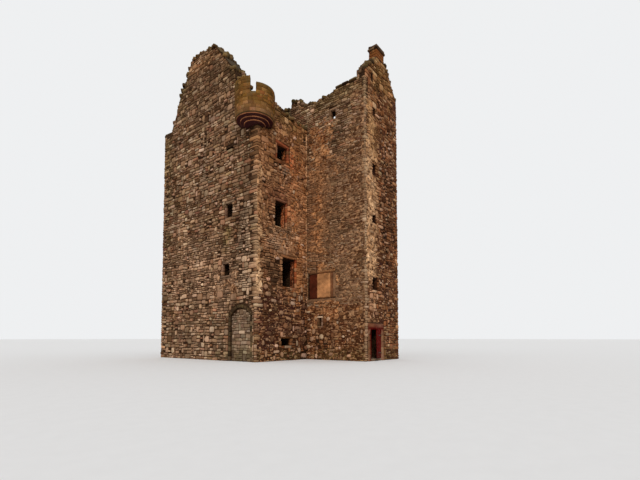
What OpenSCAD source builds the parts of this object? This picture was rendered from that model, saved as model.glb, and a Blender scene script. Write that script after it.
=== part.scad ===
// Roofless tower house: a square main block, a stair wing, a corbelled corner turret
// and one boarded door. The ground is z = 0 and the middle of the main block is the
// origin. The door faces -Y, the gable with the turret faces -X, and +Z is up.

/* [Main block] */
// Length of the main block, from gable face to gable face
block_len = 8300; // [8000:50:9500]
// Depth of the main block, from front face to back face
block_depth = 9500; // [9200:50:10500]
// Thickness of the main walls at the ground
wall_t = 1400; // [1250:50:1500]
// Width of each inside ledge that carries a floor's joists
ledge = 150; // [120:10:200]
// Height of the front and back wallheads
wallhead_h = 15000; // [14700:50:15600]
// Height of the broken stack on the left gable
gable_top_h = 20000; // [19700:50:20600]
// Height of the broken stack on the right gable, which has lost more
far_gable_top_h = 19250; // [19000:50:19700]
// Width of the chimney stack that each gable carries
stack_w = 2500; // [2200:50:2800]

/* [Wing] */
// Width of the wing
wing_w = 3900; // [3800:50:4300]
// How far the wing stands forward of the main block
wing_out = 4400; // [4200:50:5000]
// Thickness of the wing walls
wing_wall_t = 700; // [650:25:750]
// Height of the wing's eaves
wing_eaves_h = 16780; // [16600:20:17200]
// Thickness of the wing gable and depth of its chimney
wing_gable_t = 550; // [500:25:650]
// Width of the wing chimney
shaft_w = 920; // [800:20:1100]
// Height of the wing gable, from its eaves to the foot of the chimney
gable_rise = 1940; // [1800:20:2300]
// Height of the wing chimney's shaft under its cap
shaft_h = 540; // [400:10:700]

/* [Turret] */
// Outer radius of the turret's round wall
turret_r = 1150; // [1050:25:1200]
// Thickness of the turret's wall
turret_t = 300; // [220:10:340]
// Underside of the turret's wall, on top of the corbels
turret_base_h = 13700; // [13500:50:13900]
// Height of one corbel ring
ring_h = 90; // [80:5:110]
// Height of the turret's round wall in its lower half
turret_h = 1650; // [1500:25:1750]
// Width of the crenel between the merlons
crenel_w = 330; // [250:10:450]
// Depth of the crenel
crenel_d = 540; // [460:20:700]

/* [Floors] */
// Top of the flagstones at ground level
flags_h = 120; // [80:10:160]
// Level of the vaulted first floor
first_h = 3500; // [3400:20:3700]
// Level of the second floor
second_h = 7100; // [7000:20:7300]
// Level of the third floor
third_h = 10900; // [10700:20:11100]
// Underside of the vault at its crown
vault_crown = 3000; // [2900:20:3100]
// Depth of a joist
joist_h = 250; // [200:10:300]
// Width of a joist
joist_w = 160; // [120:10:200]
// Thickness of the floor boards
board_t = 50; // [40:5:60]

/* [Openings] */
// Width of the dressed stone margin round a window
margin = 190; // [150:10:220]
// Depth of the dressed stones from the wall face
dress_d = 260; // [220:10:320]
// Splay of a window's embrasure, on each side
splay = 280; // [200:10:320]
// Width of the doorways between the wing and the main block
inner_door_w = 850; // [800:10:900]
// Height of the doorways between the wing and the main block
inner_door_h = 1900; // [1850:10:1950]

/* [Door] */
// Width of the doorway between its stone jambs
door_w = 1200; // [1100:10:1300]
// Height of the doorway under its lintel
door_h = 1900; // [1850:10:2000]
// Distance of the doorway from the wing's left corner
door_x = 500; // [450:10:600]
// Width of the stone jambs beside the doorway
jamb_w = 300; // [260:10:320]
// Width of the door frame's posts
post_w = 80; // [70:5:90]
// Depth of the door frame
post_d = 120; // [110:5:140]
// Thickness of the door's boards
leaf_t = 32; // [28:1:38]
// Angle at which the door stands ajar
ajar = 18; // [10:1:30]
// Clearance round the closed door
gap = 6; // [5:1:9]
// Radius of the hinge pins
pin_r = 9; // [8:0.5:10]

/* [Hidden] */

$fn = 64;
e = 1;

// Faces of the main block and of the wing
left_x = -block_len / 2;
right_x = block_len / 2;
front_y = -block_depth / 2;
back_y = block_depth / 2;
wing_x = right_x - wing_w;
wing_y = front_y - wing_out;
room_x = block_len / 2 - wall_t;
room_y = block_depth / 2 - wall_t;
shaft_room_x = wing_x + wing_wall_t;
shaft_room_w = wing_w - 2 * wing_wall_t;
inner_door_x = shaft_room_x + 60;

// Eaves of the main block's gables, and the seat of the stones that project from them
eaves_h = wallhead_h + 650;
eaves_seat = block_depth / 12;

// A gable's front skew: where its head and foot stand, and what its head lacks in height
skew_head_y = 250 - stack_w / 2;
skew_foot_y = front_y + 1950;
skew_foot_h = eaves_h + 1710;
skew_drop = 350;

// Middle of the turret, top of its low half and bed of its floor
turret_x = left_x + 100;
turret_y = front_y + 300;
merlon_h = turret_base_h + turret_h;
well_h = turret_base_h + 200;

// Depth of the doorway's jamb stones
jamb_d = dress_d + 90;

// Windows as [distance along the wall, sill height, width, height]
front_first = [2750, 4420, 1300, 1780];
front_second = [2000, 7960, 1060, 1600];
front_third = [2130, 12060, 900, 930];
front_vent_hole = [2500, 880, 900, 430];
front_row = [front_first, front_second, front_third, front_vent_hole];
left_first = [2640, 5060, 700, 720];
left_second = [2420, 8540, 720, 860];
left_slot = [2350, 12630, 700, 150];
back_row = [for (sill = [4200, 7780, 11880]) [4150, sill, 900, 1200]];
right_row = [for (sill = [4900, 8360]) [5200, sill, 700, 860]];
wing_front_row = [
  [980, 4260, 520, 540], [980, 8240, 350, 420], [980, 11240, 350, 520], [990, 14820, 340, 400]];
wing_slit = [820, 16900, 180, 420];
wing_left_row = [[2100, 14900, 370, 620], [1080, 2080, 200, 500]];
wing_right_row = [for (sill = [4260, 8240, 11240]) [1900, sill, 350, 520]];
wing_margin = 110;

// Where the blocked window and the relieving arch lie
blocked_u = 130;
blocked_w = 2110;
blocked_sill = 3680;
blocked_h = 1820;
blocked_d = 160;
blocked_stone = 120;
panel_u = 780;
panel_w = 1050;
arch_u = 1250;
arch_half = 850;
arch_r = 960;
arch_crown_h = 3070;
arch_ring = 180;
arch_d = 300;

// A wall in the YZ plane from a [y, z] outline, from x0 to x1
module wall_yz(outline, x0, x1) {
  translate([x0, 0, 0]) rotate([90, 0, 90]) linear_extrude(x1 - x0) polygon(outline);
}

// A wall in the XZ plane from an [x, z] outline, from y0 to y1
module wall_xz(outline, y0, y1) {
  translate([0, y1, 0]) rotate([90, 0, 0]) linear_extrude(y1 - y0) polygon(outline);
}

// Room for one window in a wall whose face is y = 0 and whose inside is +Y: a pocket
// for the dressed stones and an embrasure that widens inwards, but not past x = keep
module window_cut(w, t, m, keep = 0) {
  translate([w[0] - w[2] / 2 - m, -e, w[1] - m])
    cube([w[2] + 2 * m, dress_d + e, w[3] + 2 * m]);
  translate([0, 0, w[1]]) linear_extrude(w[3]) polygon([
    [w[0] - w[2] / 2, dress_d - e], [w[0] + w[2] / 2, dress_d - e],
    [w[0] + w[2] / 2 + splay, t + e], [max(w[0] - w[2] / 2 - splay, keep), t + e]]);
}

// Sill, jambs and lintel round one window, flush with the wall face
module window_stones(w, m) {
  translate([w[0], 0, w[1]]) difference() {
    translate([-w[2] / 2 - m, 0, -m]) cube([w[2] + 2 * m, dress_d, w[3] + 2 * m]);
    translate([-w[2] / 2, -e, 0]) cube([w[2], dress_d + 2 * e, w[3]]);
  }
}

// Frames that put a child drawn on y = 0 onto each face, with +Y into the wall
module on_front() { translate([left_x, front_y, 0]) children(); }
module on_left() { translate([left_x, front_y, 0]) mirror([1, -1, 0]) children(); }
module on_right() { translate([right_x, front_y, 0]) rotate([0, 0, 90]) children(); }
module on_back() { translate([left_x, back_y, 0]) mirror([0, 1, 0]) children(); }
module on_wing_front() { translate([wing_x, wing_y, 0]) children(); }
module on_wing_left() { translate([wing_x, front_y, 0]) rotate([0, 0, -90]) children(); }
module on_wing_right() { translate([right_x, front_y, 0]) mirror([1, 1, 0]) children(); }

// One broken edge from p to q: n steps with a tooth of size bite at each
function broken(p, q, n, bite) = [for (i = [1:n - 1])
  p + (q - p) * i / n + bite * [sin(i * 131), sin(i * 197 + 40)]];

// Gable outline: the front skew keeps its slope down to a broken step, and the back one
// is eaten away. The level top is the stump of a chimney stack.
function gable_outline(top_h, bite) = let (
  stump_l = 2 * stack_w / 3,
  head = [skew_head_y, top_h - skew_drop],
  foot = [skew_foot_y, skew_foot_h],
  back_head = [stack_w / 2 + 250, top_h],
  back_foot = [back_y - eaves_seat - 10, eaves_h],
  back_knee = [(back_head[0] + back_foot[0]) / 2 + 250, (top_h + eaves_h) / 2])
  concat(
    [[front_y, 0], [back_y, 0], [back_y, eaves_h], back_foot],
    broken(back_foot, back_knee, 4, bite),
    [back_knee],
    broken(back_knee, back_head, 5, bite),
    [back_head],
    broken(back_head, [back_head[0] - stump_l, top_h], 4, bite / 2),
    [[skew_head_y + 200, top_h - skew_drop / 2], head, foot],
    [[foot[0] - 150, (foot[1] + eaves_h) / 2], [foot[0] - 860, eaves_h], [front_y, eaves_h - 350]]);

// Point on the left gable's front skew, a share s of the way down from its head
function skew_point(s) = let (
  head = [skew_head_y, gable_top_h - skew_drop],
  foot = [skew_foot_y, skew_foot_h])
  head + s * (foot - head);

// Removes the inside ledges' steps from a gable wall that stands at x = 0 to wall_t
module ledge_steps() {
  for (level = [second_h, third_h])
    translate([wall_t - ledge * (level == second_h ? 1 : 2), -room_y, level - board_t - joist_h])
      cube([ledge * 2, 2 * room_y, gable_top_h]);
}

module turret_well() {
  translate([turret_x, turret_y, well_h]) cylinder(r = turret_r - turret_t, h = wallhead_h);
}

// Everything inside the main block's own corner, which the turret is built against
module block_corner() {
  translate([left_x, front_y, 0]) cube([3 * turret_r, 3 * turret_r, 2 * wallhead_h]);
}

module left_gable_wall() {
  color("#8a7560") difference() {
    wall_yz(gable_outline(gable_top_h, 130), left_x, left_x + wall_t);
    translate([left_x, 0, 0]) ledge_steps();
    on_left() {
      window_cut(left_first, wall_t, margin);
      window_cut(left_second, wall_t, margin);
      translate([left_slot[0] - left_slot[2] / 2, -e, left_slot[1]])
        cube([left_slot[2], 2 * dress_d, left_slot[3]]);
      arch_shape(arch_ring, -e, arch_d);
    }
    on_front() for (w = front_row) window_cut(w, wall_t, margin, wall_t);
    turret_well();
  }
}

module right_gable_wall() {
  color("#8a7560") difference() {
    wall_yz(gable_outline(far_gable_top_h, 170), right_x - wall_t, right_x);
    translate([right_x, 0, 0]) mirror([1, 0, 0]) ledge_steps();
    on_right() for (w = right_row) window_cut(w, wall_t, margin);
  }
}

// Front wall: it carries on behind the wing, where a doorway serves each floor, and it
// stands a course higher beside the turret, for the length raised_l from the corner
raised_l = 2450;
raised_h = 270;
module front_wall() {
  a = left_x + wall_t;
  b = right_x - wall_t;
  color("#94745a") difference() {
    wall_xz(concat([[a, 0], [b, 0], [b, wallhead_h], [wing_x, wallhead_h]],
      broken([wing_x, wallhead_h], [left_x + raised_l, wallhead_h], 6, 45),
      [[left_x + raised_l, wallhead_h + raised_h / 6],
        [left_x + 0.9 * raised_l, wallhead_h + 0.95 * raised_h], [a, wallhead_h + raised_h]]),
      front_y, front_y + wall_t);
    on_front() {
      for (w = front_row) window_cut(w, wall_t, margin, wall_t);
    }
    for (level = [0, first_h, second_h, third_h])
      translate([inner_door_x, front_y - e, level == 0 ? flags_h : level])
        cube([inner_door_w, wall_t + 2 * e, inner_door_h]);
  }
}

module back_wall() {
  a = left_x + wall_t;
  b = right_x - wall_t;
  color("#8a7560") difference() {
    wall_xz(concat([[a, 0], [b, 0], [b, wallhead_h]],
      broken([b, wallhead_h], [a, wallhead_h], 11, 90), [[a, wallhead_h]]),
      back_y - wall_t, back_y);
    on_back() for (w = back_row) window_cut(w, wall_t, margin);
  }
}

// Top of a wing side wall: level where the eaves course is left, and broken behind it.
// Each bite is [share of the way from the main block to the eaves course, depth].
eaves_from = 2300;
wing_bites = [
  [0.91, 90], [0.76, 170], [0.54, 190], [0.43, 150], [0.32, 310], [0.18, 140], [0, 160]];
wing_side_outline = concat(
  [[0, 0], [wing_out - wing_wall_t, 0], [wing_out - wing_wall_t, wing_eaves_h],
    [eaves_from, wing_eaves_h]],
  [for (b = wing_bites) [b[0] * eaves_from, wing_eaves_h - b[1]]]);

module wing_side(x0) {
  wall_yz([for (p = wing_side_outline) [front_y - p[0], p[1]]], x0, x0 + wing_wall_t);
}

// The left wall is splayed away behind the doorway for the length ingo_l
ingo_l = 500;
module wing_left_wall() {
  color("#84705c") difference() {
    wing_side(wing_x);
    on_wing_left() {
      for (w = wing_left_row) window_cut(w, wing_wall_t, wing_margin);
      translate([blocked_u, -e, blocked_sill]) cube([blocked_w, blocked_d + e, blocked_h]);
    }
    on_wing_front() translate([0, wing_wall_t, -e]) linear_extrude(door_h + e)
      polygon([[door_x, -e], [wing_wall_t + e, -e], [wing_wall_t + e, ingo_l], [door_x, 0]]);
  }
}

module wing_right_wall() {
  color("#84705c") difference() {
    wing_side(right_x - wing_wall_t);
    on_wing_right() for (w = wing_right_row) window_cut(w, wing_wall_t, wing_margin);
  }
}

// Front of the wing above the door head, with a seat for the lintel
module wing_front_wall() {
  color("#96704f") difference() {
    translate([wing_x, wing_y, door_h]) cube([wing_w, wing_wall_t, wing_eaves_h - door_h]);
    on_wing_front() {
      for (w = wing_front_row) window_cut(w, wing_wall_t, wing_margin, wing_wall_t);
      translate([door_x - jamb_w, -e, door_h - e])
        cube([door_w + 2 * jamb_w, jamb_d + e, jamb_w + e]);
    }
  }
}
// A pier beside the doorway, checked out for the jamb stones
module wing_pier(from, to, jamb_from) {
  on_wing_front() difference() {
    translate([from, 0, 0]) cube([to - from, wing_wall_t, door_h]);
    translate([jamb_from, -e, -e]) cube([jamb_w, jamb_d + e, door_h + 2 * e]);
  }
}
module wing_pier_left() { color("#96704f") wing_pier(0, door_x, door_x - jamb_w); }
module wing_pier_right() { color("#96704f") wing_pier(door_x + door_w, wing_w, door_x + door_w); }

// Wing gable: a shouldered foot, two broken skews and a level seat for the chimney
shaft_u = 0.473 * (wing_w - shaft_w);
shaft_foot_h = wing_eaves_h + gable_rise;
shaft_top_h = shaft_foot_h + shaft_h;
flue_r = 150;

// Points [share of the way out from the chimney to the corner, share of the gable's rise]
gable_right = [[0.99, 0.17], [0.84, 0.29], [0.6, 0.5], [0.48, 0.63], [0.33, 0.79], [0.11, 0.97]];
gable_left = [[0.27, 0.79], [0.57, 0.56], [0.79, 0.38], [0.91, 0.29], [1, 0.27]];
module wing_gable() {
  reach = wing_w - shaft_u - shaft_w;
  color("#a07850") difference() {
    on_wing_front() wall_xz(concat(
      [[0, wing_eaves_h], [wing_w, wing_eaves_h]],
      [for (p = gable_right)
        [shaft_u + shaft_w + p[0] * reach, wing_eaves_h + p[1] * gable_rise]],
      [[shaft_u + shaft_w, shaft_foot_h], [shaft_u, shaft_foot_h]],
      [for (p = gable_left) [shaft_u * (1 - p[0]), wing_eaves_h + p[1] * gable_rise]]),
      0, wing_gable_t);
    on_wing_front() translate([wing_slit[0] - wing_slit[2] / 2, -e, wing_slit[1]])
      cube([wing_slit[2], wing_gable_t + 2 * e, wing_slit[3]]);
  }
}

module wing_chimney_shaft() {
  color("#b07a52") on_wing_front() difference() {
    translate([shaft_u, 0, shaft_foot_h]) cube([shaft_w, wing_gable_t, shaft_top_h - shaft_foot_h]);
    translate([shaft_u + shaft_w / 2, wing_gable_t / 2, shaft_foot_h + 100])
      cylinder(r = flue_r, h = shaft_top_h);
  }
}

// Two courses of slab with a weathered top, open over the flue
module wing_chimney_cap() {
  cap_lip = 70;
  cap_h = 280;
  drip_h = 120;
  color("#7a6a4c") on_wing_front() difference() {
    union() {
      translate([shaft_u - cap_lip, -cap_lip, shaft_top_h])
        cube([shaft_w + 2 * cap_lip, wing_gable_t + 2 * cap_lip, drip_h]);
      translate([shaft_u - cap_lip / 3, -cap_lip / 3, shaft_top_h])
        cube([shaft_w + 2 * cap_lip / 3, wing_gable_t + 2 * cap_lip / 3, cap_h]);
    }
    translate([shaft_u + shaft_w / 2, wing_gable_t / 2, shaft_top_h - e])
      cylinder(r = flue_r, h = shaft_top_h);
  }
}

// Stone slabs that are left of the wing's eaves course, one on each side wall
module wing_eaves_slabs() {
  slab_t = 120;
  lip = 130;
  tail = 40;
  long = wing_out - eaves_from - wing_gable_t;
  color("#4d4638") for (x = [wing_x - lip, right_x - wing_wall_t - tail])
    translate([x, front_y - eaves_from - long, wing_eaves_h])
      cube([wing_wall_t + lip + tail, long, slab_t]);
}

// Broken wall that carries the wing's side up over the main wallhead. Each point of its
// top is [share of the main wall's thickness, height over the wing's eaves].
return_top = [
  [1, 300], [0.83, 560], [0.6, 380], [0.5, 440], [0.3, 60], [0.19, -240], [0, -160]];
module wing_return() {
  color("#6d6348") translate([0, front_y, 0])
    wall_yz(concat([[0, wallhead_h], [wall_t, wallhead_h]],
      [for (p = return_top) [p[0] * wall_t, wing_eaves_h + p[1]]]), wing_x, wing_x + wing_wall_t);
}

// Corbel rings: each one a roll with a quirk over it, and each wider than the one below
rings = 3;
ring_step = 220;
top_ring_r = turret_r - 90;
module turret_corbels() {
  roll = ring_h * 0.43;
  color("#7d3f30") difference() {
    translate([turret_x, turret_y, turret_base_h - rings * ring_h]) rotate_extrude() union() {
      for (i = [0:rings - 1]) let (r = top_ring_r - (rings - 1 - i) * ring_step) {
        translate([0, i * ring_h]) square([r - roll, ring_h]);
        translate([r - roll, i * ring_h + roll]) circle(roll);
      }
    }
    block_corner();
  }
}

// Round wall of the turret: a low half, a high half and a crenel between them
module turret_wall() {
  high_h = merlon_h + 300;
  face = 222;
  color("#9a7a3c") difference() {
    translate([turret_x, turret_y, turret_base_h]) cylinder(r = turret_r, h = high_h - turret_base_h);
    translate([turret_x, turret_y, turret_base_h - e])
      cylinder(r = turret_r - turret_t, h = high_h);
    translate([turret_x, turret_y, merlon_h]) rotate([0, 0, face])
      translate([-2 * turret_r, 0, 0]) cube([4 * turret_r, 2 * turret_r, high_h]);
    translate([turret_x, turret_y, merlon_h - crenel_d]) rotate([0, 0, face])
      translate([0, -crenel_w / 2, 0]) cube([2 * turret_r, crenel_w, high_h]);
    block_corner();
  }
}

module turret_floor() {
  color("#80745e") difference() {
    translate([turret_x, turret_y, turret_base_h])
      cylinder(r = turret_r - turret_t, h = well_h - turret_base_h, $fn = 128);
    block_corner();
  }
}

// A flat slab laid on the left gable's skew between two shares of its length
module skew_slab(s0, s1) {
  thick = 90;
  lip = 60;
  p = skew_point(s0);
  q = skew_point(s1);
  n = [p[1] - q[1], q[0] - p[0]] / norm(p - q) * -thick;
  wall_yz([p, q, q + n, p + n], left_x - lip, left_x + wall_t - 3 * ledge);
}
module gable_skew_slabs() {
  color("#3f3a30") {
    skew_slab(0.02, 0.22);
    skew_slab(0.45, 0.77);
  }
}

// Projecting stones where the back eaves meet each gable
module eaves_stones() {
  lip = 160;
  stone_h = 160;
  color("#4d4638") for (x = [left_x - 60, right_x - wall_t + 3 * ledge])
    translate([x, back_y - eaves_seat, eaves_h])
      cube([wall_t - 3 * ledge + 60, eaves_seat + lip, stone_h]);
}

module ground_flags() {
  color("#6f675a") translate([-room_x, -room_y, 0]) cube([2 * room_x, 2 * room_y, flags_h]);
}

module wing_flags() {
  color("#6f675a") translate([shaft_room_x, wing_y + wing_wall_t, 0])
    cube([shaft_room_w, wing_out - wing_wall_t, flags_h]);
}

// Segmental barrel vault that springs from both gable walls
module first_floor_vault() {
  spring_h = 1300;
  rise = vault_crown - spring_h;
  r = (room_x * room_x + rise * rise) / (2 * rise);
  color("#7c6d5c") difference() {
    translate([-room_x, -room_y, spring_h]) cube([2 * room_x, 2 * room_y, first_h - spring_h]);
    translate([0, 0, vault_crown - r]) rotate([90, 0, 0])
      cylinder(r = r, h = 3 * room_y, center = true, $fn = 128);
  }
}

// Joists across the room, with their ends on the gable walls' ledges
module floor_joists(level, reach) {
  count = 11;
  pitch = (2 * room_y - joist_w - 200) / (count - 1);
  color("#6a5a48") for (i = [0:count - 1])
    translate([-room_x - reach, -room_y + 100 + i * pitch, level - board_t - joist_h])
      cube([2 * (room_x + reach), joist_w, joist_h]);
}
module floor_boards(level, reach) {
  color("#77695a") translate([-room_x - reach, -room_y, level - board_t])
    cube([2 * (room_x + reach), 2 * room_y, board_t]);
}
module second_floor_joists() { floor_joists(second_h, ledge); }
module second_floor_boards() { floor_boards(second_h, ledge); }
module third_floor_joists() { floor_joists(third_h, 2 * ledge); }
module third_floor_boards() { floor_boards(third_h, 2 * ledge); }

module front_window_first() { color("#a8553a") on_front() window_stones(front_first, margin); }
module front_window_second() { color("#a8553a") on_front() window_stones(front_second, margin); }
module front_window_third() { color("#b8593a") on_front() window_stones(front_third, margin); }
module front_vent() { color("#7d6a58") on_front() window_stones(front_vent_hole, margin); }

module left_gable_windows() {
  color("#a88872") on_left() {
    window_stones(left_first, margin);
    window_stones(left_second, margin);
  }
}
module right_gable_windows() {
  color("#a88872") on_right() for (w = right_row) window_stones(w, margin);
}
module back_windows() {
  color("#a8553a") on_back() for (w = back_row) window_stones(w, margin);
}
module wing_front_windows() {
  color("#a07a5c") on_wing_front() for (w = wing_front_row) window_stones(w, wing_margin);
}
module wing_side_windows() {
  color("#8a7560") {
    on_wing_left() for (w = wing_left_row) window_stones(w, wing_margin);
    on_wing_right() for (w = wing_right_row) window_stones(w, wing_margin);
  }
}

// Segmental arch on straight legs, wider by extra all round, from y = from to y = to
module arch_shape(extra, from, to) {
  translate([arch_u, to, 0]) rotate([90, 0, 0]) linear_extrude(to - from) intersection() {
    union() {
      translate([0, arch_crown_h - arch_r]) circle(arch_r + extra);
      translate([-arch_half - extra, 0])
        square([2 * (arch_half + extra), arch_crown_h - arch_r]);
    }
    translate([-arch_half - extra, 0]) square([2 * (arch_half + extra), arch_crown_h + arch_r]);
  }
}

// Relieving arch low in the left gable: a ring of stones over later infill
module relieving_arch() {
  color("#5f5444") on_left() difference() {
    arch_shape(arch_ring, 0, arch_d);
    arch_shape(0, -e, arch_d + e);
  }
}
module arch_infill() {
  inset = 90;
  slit_w = 110;
  slit_h = 700;
  slit_sill = 1750;
  color("#8d8478") on_left() difference() {
    arch_shape(0, inset, arch_d);
    translate([arch_u - arch_half - e, inset - e, slit_sill]) cube([slit_w + e, arch_d, slit_h]);
  }
}

// Margin stones of the blocked window: a lintel, a sill and two jambs in a shallow
// recess. The left jamb is set deeper than the rest, and the panel stands proud of them.
module blocked_window_margin() {
  inset = 60;
  deep = 100;
  jamb = 400;
  clear_h = blocked_h - 2 * blocked_stone;
  color("#6b3a2c") on_wing_left() translate([blocked_u, 0, blocked_sill]) {
    for (z = [0, blocked_h - blocked_stone]) translate([0, inset, z])
      cube([blocked_w, blocked_d - inset, blocked_stone]);
    translate([blocked_w - jamb, inset, blocked_stone]) cube([jamb, blocked_d - inset, clear_h]);
    translate([0, deep, blocked_stone]) cube([panel_u - blocked_u, blocked_d - deep, clear_h]);
  }
}
module blocked_window_panel() {
  inset = 20;
  color("#b5935f") on_wing_left() translate([panel_u, inset, blocked_sill + blocked_stone])
    cube([panel_w - inset, blocked_d - inset, blocked_h - 2 * blocked_stone]);
}

// Jamb stones and lintel of the doorway
module door_surround() {
  color("#b07460") on_wing_front() {
    for (x = [door_x - jamb_w, door_x + door_w]) translate([x, 0, 0]) cube([jamb_w, jamb_d, door_h]);
    translate([door_x - jamb_w, 0, door_h]) cube([door_w + 2 * jamb_w, jamb_d, jamb_w]);
  }
}

rebate_w = 30;
ledge_t = 24;
rebate_d = leaf_t + gap;

// Two posts and a head, checked out on the outside for the leaf
module door_frame() {
  color("#5e1512") on_wing_front() difference() {
    translate([door_x, 0, step_h]) cube([door_w, post_d, door_h - step_h]);
    translate([door_x + post_w, -e, step_h - e])
      cube([door_w - 2 * post_w, post_d + 2 * e, door_h - step_h - post_w + e]);
    translate([door_x + post_w - rebate_w, -e, step_h - e])
      cube([leaf_room_w, rebate_d + e, door_h - step_h - post_w + rebate_w + e]);
  }
}
leaf_room_w = door_w - 2 * (post_w - rebate_w);
step_h = 150;

module door_step() {
  color("#8a8072") on_wing_front() translate([door_x, 0, 0])
    cube([door_w, wing_wall_t, step_h]);
}

// The hinge line stands just outside the frame's face, at the leaf's right-hand edge
eye_r = 18;
eye_h = 60;
strap_t = 8;
hinge_u = door_x + door_w - post_w + rebate_w + 9;
hinge_out = eye_r + 3;
hinge_zs = [step_h + 330, door_h - 400];
leaf_w = leaf_room_w - 2 * gap;
leaf_h = door_h - step_h - post_w + rebate_w - 2 * gap;
leaf_right = hinge_u - 9 - gap;

module on_hinge() {
  on_wing_front() translate([hinge_u, -hinge_out, 0]) rotate([0, 0, ajar])
    translate([-hinge_u, hinge_out, 0]) children();
}

// Pintles on the right-hand post, on which the leaf's straps hang
module door_pins() {
  foot_w = door_x + door_w - hinge_u + pin_r;
  foot_h = 40;
  color("#2b2624") on_wing_front() for (z = hinge_zs) {
    translate([hinge_u, -hinge_out, z - eye_h / 2 - foot_h + 10])
      cylinder(r = pin_r, h = eye_h + foot_h);
    translate([hinge_u - pin_r, -hinge_out - pin_r, z - eye_h / 2 - foot_h - 1])
      cube([foot_w, hinge_out + pin_r, foot_h]);
  }
}

// Boarded leaf with three ledges on its back
module door_leaf() {
  clear_w = door_w - 2 * post_w - 4 * gap;
  color("#6a1a14") on_hinge() {
    translate([leaf_right - leaf_w, 0, step_h + gap]) cube([leaf_w, leaf_t, leaf_h]);
    for (s = [0.12, 0.5, 0.84])
      translate([door_x + door_w / 2 - clear_w / 2, leaf_t - e, step_h + gap + s * leaf_h])
        cube([clear_w, ledge_t + e, 110]);
  }
}

module door_straps() {
  strap_l = 620;
  strap_h = 46;
  color("#2b2624") on_hinge() for (z = hinge_zs) difference() {
    union() {
      translate([hinge_u, -hinge_out, z - eye_h / 2]) cylinder(r = eye_r, h = eye_h);
      translate([hinge_u - strap_l, -strap_t, z - strap_h / 2]) cube([strap_l, strap_t, strap_h]);
    }
    translate([hinge_u, -hinge_out, z - eye_h]) cylinder(r = pin_r + 1, h = 2 * eye_h);
    translate([hinge_u, -e - 0.5, z - eye_h]) cube([2 * eye_r, eye_r, 2 * eye_h]);
  }
}

left_gable_wall();
right_gable_wall();
front_wall();
back_wall();
wing_left_wall();
wing_right_wall();
wing_front_wall();
wing_pier_left();
wing_pier_right();
wing_gable();
wing_chimney_shaft();
wing_chimney_cap();
wing_eaves_slabs();
wing_return();
turret_corbels();
turret_wall();
turret_floor();
gable_skew_slabs();
eaves_stones();
ground_flags();
wing_flags();
first_floor_vault();
second_floor_joists();
second_floor_boards();
third_floor_joists();
third_floor_boards();
front_window_first();
front_window_second();
front_window_third();
front_vent();
left_gable_windows();
right_gable_windows();
back_windows();
wing_front_windows();
wing_side_windows();
relieving_arch();
arch_infill();
blocked_window_margin();
blocked_window_panel();
door_surround();
door_frame();
door_pins();
door_step();
door_leaf();
door_straps();
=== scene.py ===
import math

import bpy
import numpy as np
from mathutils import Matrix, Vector
from mathutils.bvhtree import BVHTree


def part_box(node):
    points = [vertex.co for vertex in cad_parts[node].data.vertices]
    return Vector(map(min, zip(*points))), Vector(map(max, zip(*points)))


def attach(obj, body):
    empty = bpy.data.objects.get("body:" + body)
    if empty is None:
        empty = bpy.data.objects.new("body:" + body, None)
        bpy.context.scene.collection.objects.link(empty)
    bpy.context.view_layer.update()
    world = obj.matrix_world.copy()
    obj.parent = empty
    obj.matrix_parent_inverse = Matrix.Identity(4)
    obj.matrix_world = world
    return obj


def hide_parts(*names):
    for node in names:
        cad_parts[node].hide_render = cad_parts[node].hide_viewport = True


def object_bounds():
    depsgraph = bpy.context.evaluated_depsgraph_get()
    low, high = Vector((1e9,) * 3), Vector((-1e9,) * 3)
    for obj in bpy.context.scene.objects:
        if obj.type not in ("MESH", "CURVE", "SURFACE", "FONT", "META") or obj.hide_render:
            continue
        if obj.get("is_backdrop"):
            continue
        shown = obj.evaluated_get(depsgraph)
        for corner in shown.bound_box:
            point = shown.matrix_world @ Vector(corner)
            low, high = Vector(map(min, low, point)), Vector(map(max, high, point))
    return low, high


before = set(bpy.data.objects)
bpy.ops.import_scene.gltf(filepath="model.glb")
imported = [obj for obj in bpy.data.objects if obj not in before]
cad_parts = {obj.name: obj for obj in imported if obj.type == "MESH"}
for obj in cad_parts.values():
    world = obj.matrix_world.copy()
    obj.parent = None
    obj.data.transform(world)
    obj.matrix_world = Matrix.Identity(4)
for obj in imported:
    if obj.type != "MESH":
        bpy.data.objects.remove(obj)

cad_low, cad_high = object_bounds()

# The walls' core
# Lime and clay packing between two faces of stone, in one dark, damp, crumbling brown.
# It shows in the joints, in the broken tops and inside the rooms.


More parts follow.
